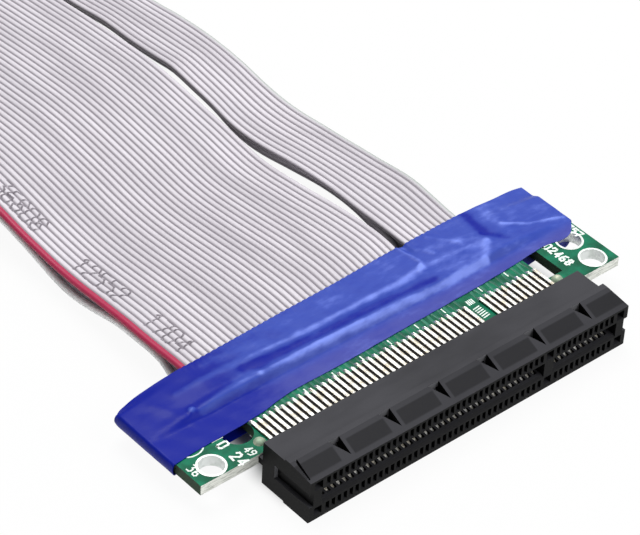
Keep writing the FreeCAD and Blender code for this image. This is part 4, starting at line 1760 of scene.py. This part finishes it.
def socket_tape() -> TapeSleeve:
    """The tape at the socket board, with its creases.

    Returns:
        The sleeve.
    """
    front = (
        (-38.0, -35.0, -26.0, -22.0, -19.5, -8.0, 7.0, 21.0, 29.5, 35.5, 36.3, 37.2),
        (15.0, 15.25, 15.5, 15.8, 16.25, 16.55, 16.95, 17.35, 18.0, 18.35, 19.2, 20.4),
    )
    rear = (
        (
            -38.0, -37.6, -37.0, -35.5, -31.0, -26.0, -20.0, -10.0,
            0.0, 10.0, 20.0, 25.0, 28.0, 31.0, 35.5, 37.2,
        ),
        (
            26.3, 26.9, 27.35, 27.75, 28.0, 27.85, 28.0, 28.35,
            28.6, 29.05, 29.25, 29.35, 29.55, 29.7, 30.05, 30.0,
        ),
    )
    ridge = ((-30.0, 24.4), (-22.0, 24.2), (-11.6, 23.4), (0.0, 23.3), (8.0, 23.2), (12.2, 23.8))
    shelf = ((-18.6, 20.8), (-7.4, 20.6), (5.0, 20.2), (12.0, 20.0), (20.8, 20.1))
    # Positive paleness paints sheen along a crease, negative paints shade in a valley.
    creases = (
        Crease(0.6, 0.1, 0.6, ridge),
        Crease(0.55, 0.12, 0.8, shelf),
        Crease(0.7, 0.06, 0.75, ((-29.0, 20.2), (-24.0, 20.8), (-19.0, 21.0))),
        Crease(0.7, 0.0, 0.3, ((-22.0, 21.6), (-19.6, 22.0))),
        Crease(0.75, -0.06, -0.8, ((-20.0, 22.9), (-8.0, 22.1), (4.0, 21.8), (12.0, 21.2))),
        Crease(0.6, 0.05, 0.4, ((12.2, 23.8), (17.0, 23.5), (23.4, 22.8))),
        Crease(1.1, 0.0, 0.3, ((12.4, 22.2), (17.0, 22.0), (21.8, 21.6))),
        Crease(0.6, 0.05, 0.3, ((23.4, 22.8), (20.8, 20.2))),
        Crease(0.6, 0.06, 0.3, ((15.5, 26.4), (20.5, 25.2))),
        Crease(0.4, 0.08, 0.3, ((17.0, 28.4), (20.0, 24.6))),
        Crease(0.35, 0.12, 0.45, ((12.3, 28.9), (12.9, 24.8), (11.4, 23.4))),
        Crease(0.4, 0.08, 0.3, ((13.2, 28.6), (15.6, 25.2))),
        Crease(0.9, -0.05, -0.9, ((24.6, 28.6), (24.2, 24.6))),
        Crease(1.2, 0.08, 0.35, ((27.6, 28.2), (27.2, 24.0))),
        Crease(0.3, 0.12, 0.6, ((27.6, 24.4), (30.8, 22.5), (36.4, 20.9))),
        Crease(0.5, -0.06, -0.5, ((23.9, 24.2), (26.5, 21.8))),
        Crease(0.45, 0.2, 1.6, ((-30.2, 21.0), (-30.0, 21.1))),
        Crease(0.8, 0.05, 0.4, ((-35.6, 23.6), (-36.4, 20.6))),
        Crease(0.6, 0.05, 0.12, ((-33.5, 24.8), (-31.0, 19.0))),
        Crease(0.6, 0.04, 0.3, ((-24.0, 26.8), (-16.0, 25.6))),
    )
    return TapeSleeve(
        "socket_tape",
        NodeBox.of("socket_board"),
        front,
        rear,
        creases,
        cable_start=25.0,
        rise_start=19.4,
        left_shade=-1.5,
    )


def card_tape() -> TapeSleeve:
    """The tape at the plug board, with its creases.

    Returns:
        The sleeve.
    """
    box = NodeBox.of("card_tape")
    stations = (box.low[0], 0.0, box.high[0])
    # Paleness paints sheen along each crease.
    creases = (
        Crease(0.5, 0.1, 0.6, ((-26.0, 171.0), (-8.0, 171.6), (14.0, 171.2))),
        Crease(0.5, 0.1, 0.7, ((-20.0, 174.6), (2.0, 174.0), (24.0, 174.8))),
        Crease(0.3, 0.1, 0.4, ((13.0, 166.6), (12.2, 170.4))),
        Crease(0.8, 0.04, 0.2, ((-28.5, 169.0), (-27.0, 174.0))),
    )
    return TapeSleeve(
        "card_tape",
        NodeBox.of("card_edge_board"),
        (stations, (box.high[1], box.high[1] - 0.4, box.high[1] - 0.1)),
        (stations, (box.low[1] + 0.3, box.low[1], box.low[1] + 0.2)),
        creases,
        cable_start=170.1,
        rise_start=175.7,
        left_shade=-0.3,
        columns=270,
    )


def cables() -> list[RibbonCable]:
    """The four cables with the waves of their edges.

    Returns:
        The upper wide one first.
    """
    grey = RibbedJacket("grey_jacket")
    marked = RibbedJacket("marked_jacket", edge_wires=0.98)
    # The narrow cable's last wire gets painted shade.
    shade_rimmed = RibbedJacket("shade_rimmed_jacket", rim_shade_share=Ramp(9.1, 9.8))
    # Painted light: the lower wide cable's first wire, in the upper cable's shade, is painted near
    # white.
    pale = RibbedJacket("lit_edge_jacket", edge=srgb(248, 248, 248), edge_wires=0.98)
    far = (120.0, 135.0, 150.0)
    upper_far, lower_far = (-0.9, -0.5, 0.2), (-2.0, -1.7, -0.9)
    middle = (54.0, 58.6, 61.7, 66.3, 71.0, 75.7, 80.5, 85.3, 90.2, 96.7, 105.0, *far)
    inner = (44.9, 49.8, 54.8, 59.9, 63.5, 67.7, 71.4, 76.6, 81.0, 85.0, 90.5, 97.6, 103.5, *far)
    wide_left = Wave(
        (
            33.5, 37.0, 40.1, 43.5, 46.8, 50.3, 53.7, 56.5, 59.3,
            62.3, 65.0, 67.5, 76.0, 90.0, 105.0, *far,
        ),
        (
            1.36, 1.3, 1.3, 1.12, 0.97, 0.76, 0.73, 0.84, 1.07,
            1.34, 1.72, 2.1, 3.0, 2.4, 0.9, -0.5, -0.3, 0.4,
        ),
    )
    wide_right = Wave(
        (
            31.5, 35.6, 40.0, 43.3, 47.0, 50.6, 54.5, 58.5, 62.0, 65.5,
            70.0, 74.3, 78.5, 84.1, 90.8, 97.9, 105.0, *far,
        ),
        (
            1.9, 1.9, 1.5, 1.06, 0.5, 0.05, -0.4, -0.5, -0.1, 0.4,
            0.88, 1.35, 1.78, 2.06, 1.8, 1.35, 0.7, -0.5, -0.3, 0.4,
        ),
    )
    narrow_left = Wave(
        (33.8, 38.3, *inner),
        (
            1.55, 1.47, 1.58, 1.26, 0.64, -0.19, -0.5, -0.3,
            0.5, 1.25, 1.8, 1.4, 0.97, 0.8, -0.04, *upper_far,
        ),
    )
    narrow_right = Wave(
        (34.2, 37.5, 46.0, *middle),
        (
            2.1, 2.5, 1.7, 0.8, 0.34, -0.01, -0.16, 0.25,
            1.02, 1.41, 1.44, 1.14, 0.34, -0.2, *upper_far,
        ),
    )
    low_wide_left = Wave(
        (
            30.2, 32.5, 35.0, 38.0, 41.0, 43.5, 46.1, 49.8, 53.0, 56.8,
            60.0, 63.0, 67.5, 76.0, 90.0, 105.0, *far,
        ),
        (
            -1.1, 0.05, 0.25, 0.2, 0.1, -0.3, -0.9, -1.55, -1.75, -1.2,
            -0.4, 0.2, 1.0, 1.9, 1.2, -0.3, -1.7, -1.6, -0.9,
        ),
    )
    low_wide_right = Wave(
        (33.0, 36.0, 40.0, 44.0, 53.0, 60.0, 66.0, 72.5, 78.0, 84.0, 90.0, 98.0, 105.0, *far),
        (-0.6, 0.2, 0.1, -0.3, -1.6, -1.9, -1.3, -0.4, 0.3, 0.7, 0.6, 0.1, -0.6, -1.8, -1.6, -0.9),
    )
    low_narrow_left = Wave(
        (33.0, 38.3, *inner),
        (
            0.1, 0.45, 0.57, 0.25, -0.37, -1.2, -1.51, -1.31,
            -0.51, 0.24, 0.79, 0.39, -0.04, -0.21, -1.1, *lower_far,
        ),
    )
    low_narrow_right = Wave(
        (33.5, 38.0, 46.0, *middle),
        (
            0.5, 1.3, 0.65, -0.25, -0.7, -1.05, -1.2, -0.8,
            -0.05, 0.35, 0.38, 0.08, -0.7, -1.25, *lower_far,
        ),
    )
    tucked = Wave(
        (33.0, 36.0, 40.0, 47.0, 53.0, 62.0, 70.0, 80.0, 110.0, 150.0),
        (0.0, 0.0, 0.4, 0.45, 0.1, 0.0, 0.45, 0.5, 0.5, 0.2),
    )
    return [
        RibbonCable("ribbon_upper_wide", wide_left, wide_right, marked),
        RibbonCable("ribbon_upper_narrow", narrow_left, narrow_right, shade_rimmed),
        RibbonCable("ribbon_lower_wide", low_wide_left, low_wide_right, pale),
        RibbonCable("ribbon_lower_narrow", low_narrow_left, low_narrow_right, grey, drift=tucked),
    ]


def solid_finishes() -> dict[str, Finish]:
    """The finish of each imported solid, by how the node's name begins.

    Returns:
        The finishes.
    """
    tin, tin_patch = srgb(232, 231, 226), srgb(196, 188, 170)
    rim, rim_patch = srgb(236, 240, 238), srgb(206, 214, 208)
    gold, gold_patch = srgb(226, 186, 96), srgb(206, 160, 76)
    strand, strand_patch = srgb(214, 188, 164), srgb(196, 150, 116)
    gilt = Metal("gilt_finger", gold, gold_patch, roughness=0.22, dents=0.01)
    green = SolderMask("green_board")
    return {
        "socket_housing": MouldedPlastic("moulded_resin"),
        "socket_board": green,
        "card_edge_board": green,
        "hole_eyelets": Metal("plated_rim", rim, rim_patch, roughness=0.3, metallic=0.6),
        "contacts": Metal("tinned_steel", tin, tin_patch, roughness=0.28),
        "edge_fingers": gilt,
        "wire_pads": gilt,
        "wire_ends": Metal("tinned_strand", strand, strand_patch, roughness=0.3),
    }


def dress_solids(nodes: dict[str, bpy.types.Object]) -> None:
    """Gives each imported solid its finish: its own, or that of the dull solder domes.

    Args:
        nodes: the frame's objects by node name.
    """
    finishes = solid_finishes()
    dome, dome_patch = srgb(150, 172, 148), srgb(206, 206, 184)
    solder = Metal("anchor_dome", dome, dome_patch, roughness=0.5, metallic=0.3)
    for name, node in nodes.items():
        own = (finish for start, finish in finishes.items() if name.startswith(start))
        finish = next(own, solder)
        node.data.materials.clear()
        node.data.materials.append(finish.material())
        LOG.info("%s dressed with %s", name, finish.name)


def main() -> None:
    """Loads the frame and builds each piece."""
    logging.basicConfig(level=logging.INFO, format="%(name)s %(message)s", stream=sys.stdout)
    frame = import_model()
    Studio().set_up()
    dress_solids(frame["nodes"])
    made = cables()
    for cable in made:
        cable.build()
    CablePrint(made[0]).build()
    socket_tape().build()
    card_tape().build()
    for side in Side:
        row = SolderRow(side)
        row.beads()
        row.flux()
        BoardTraces(side).build()
    BoardPrint().build()


if __name__ == "__main__":
    main()
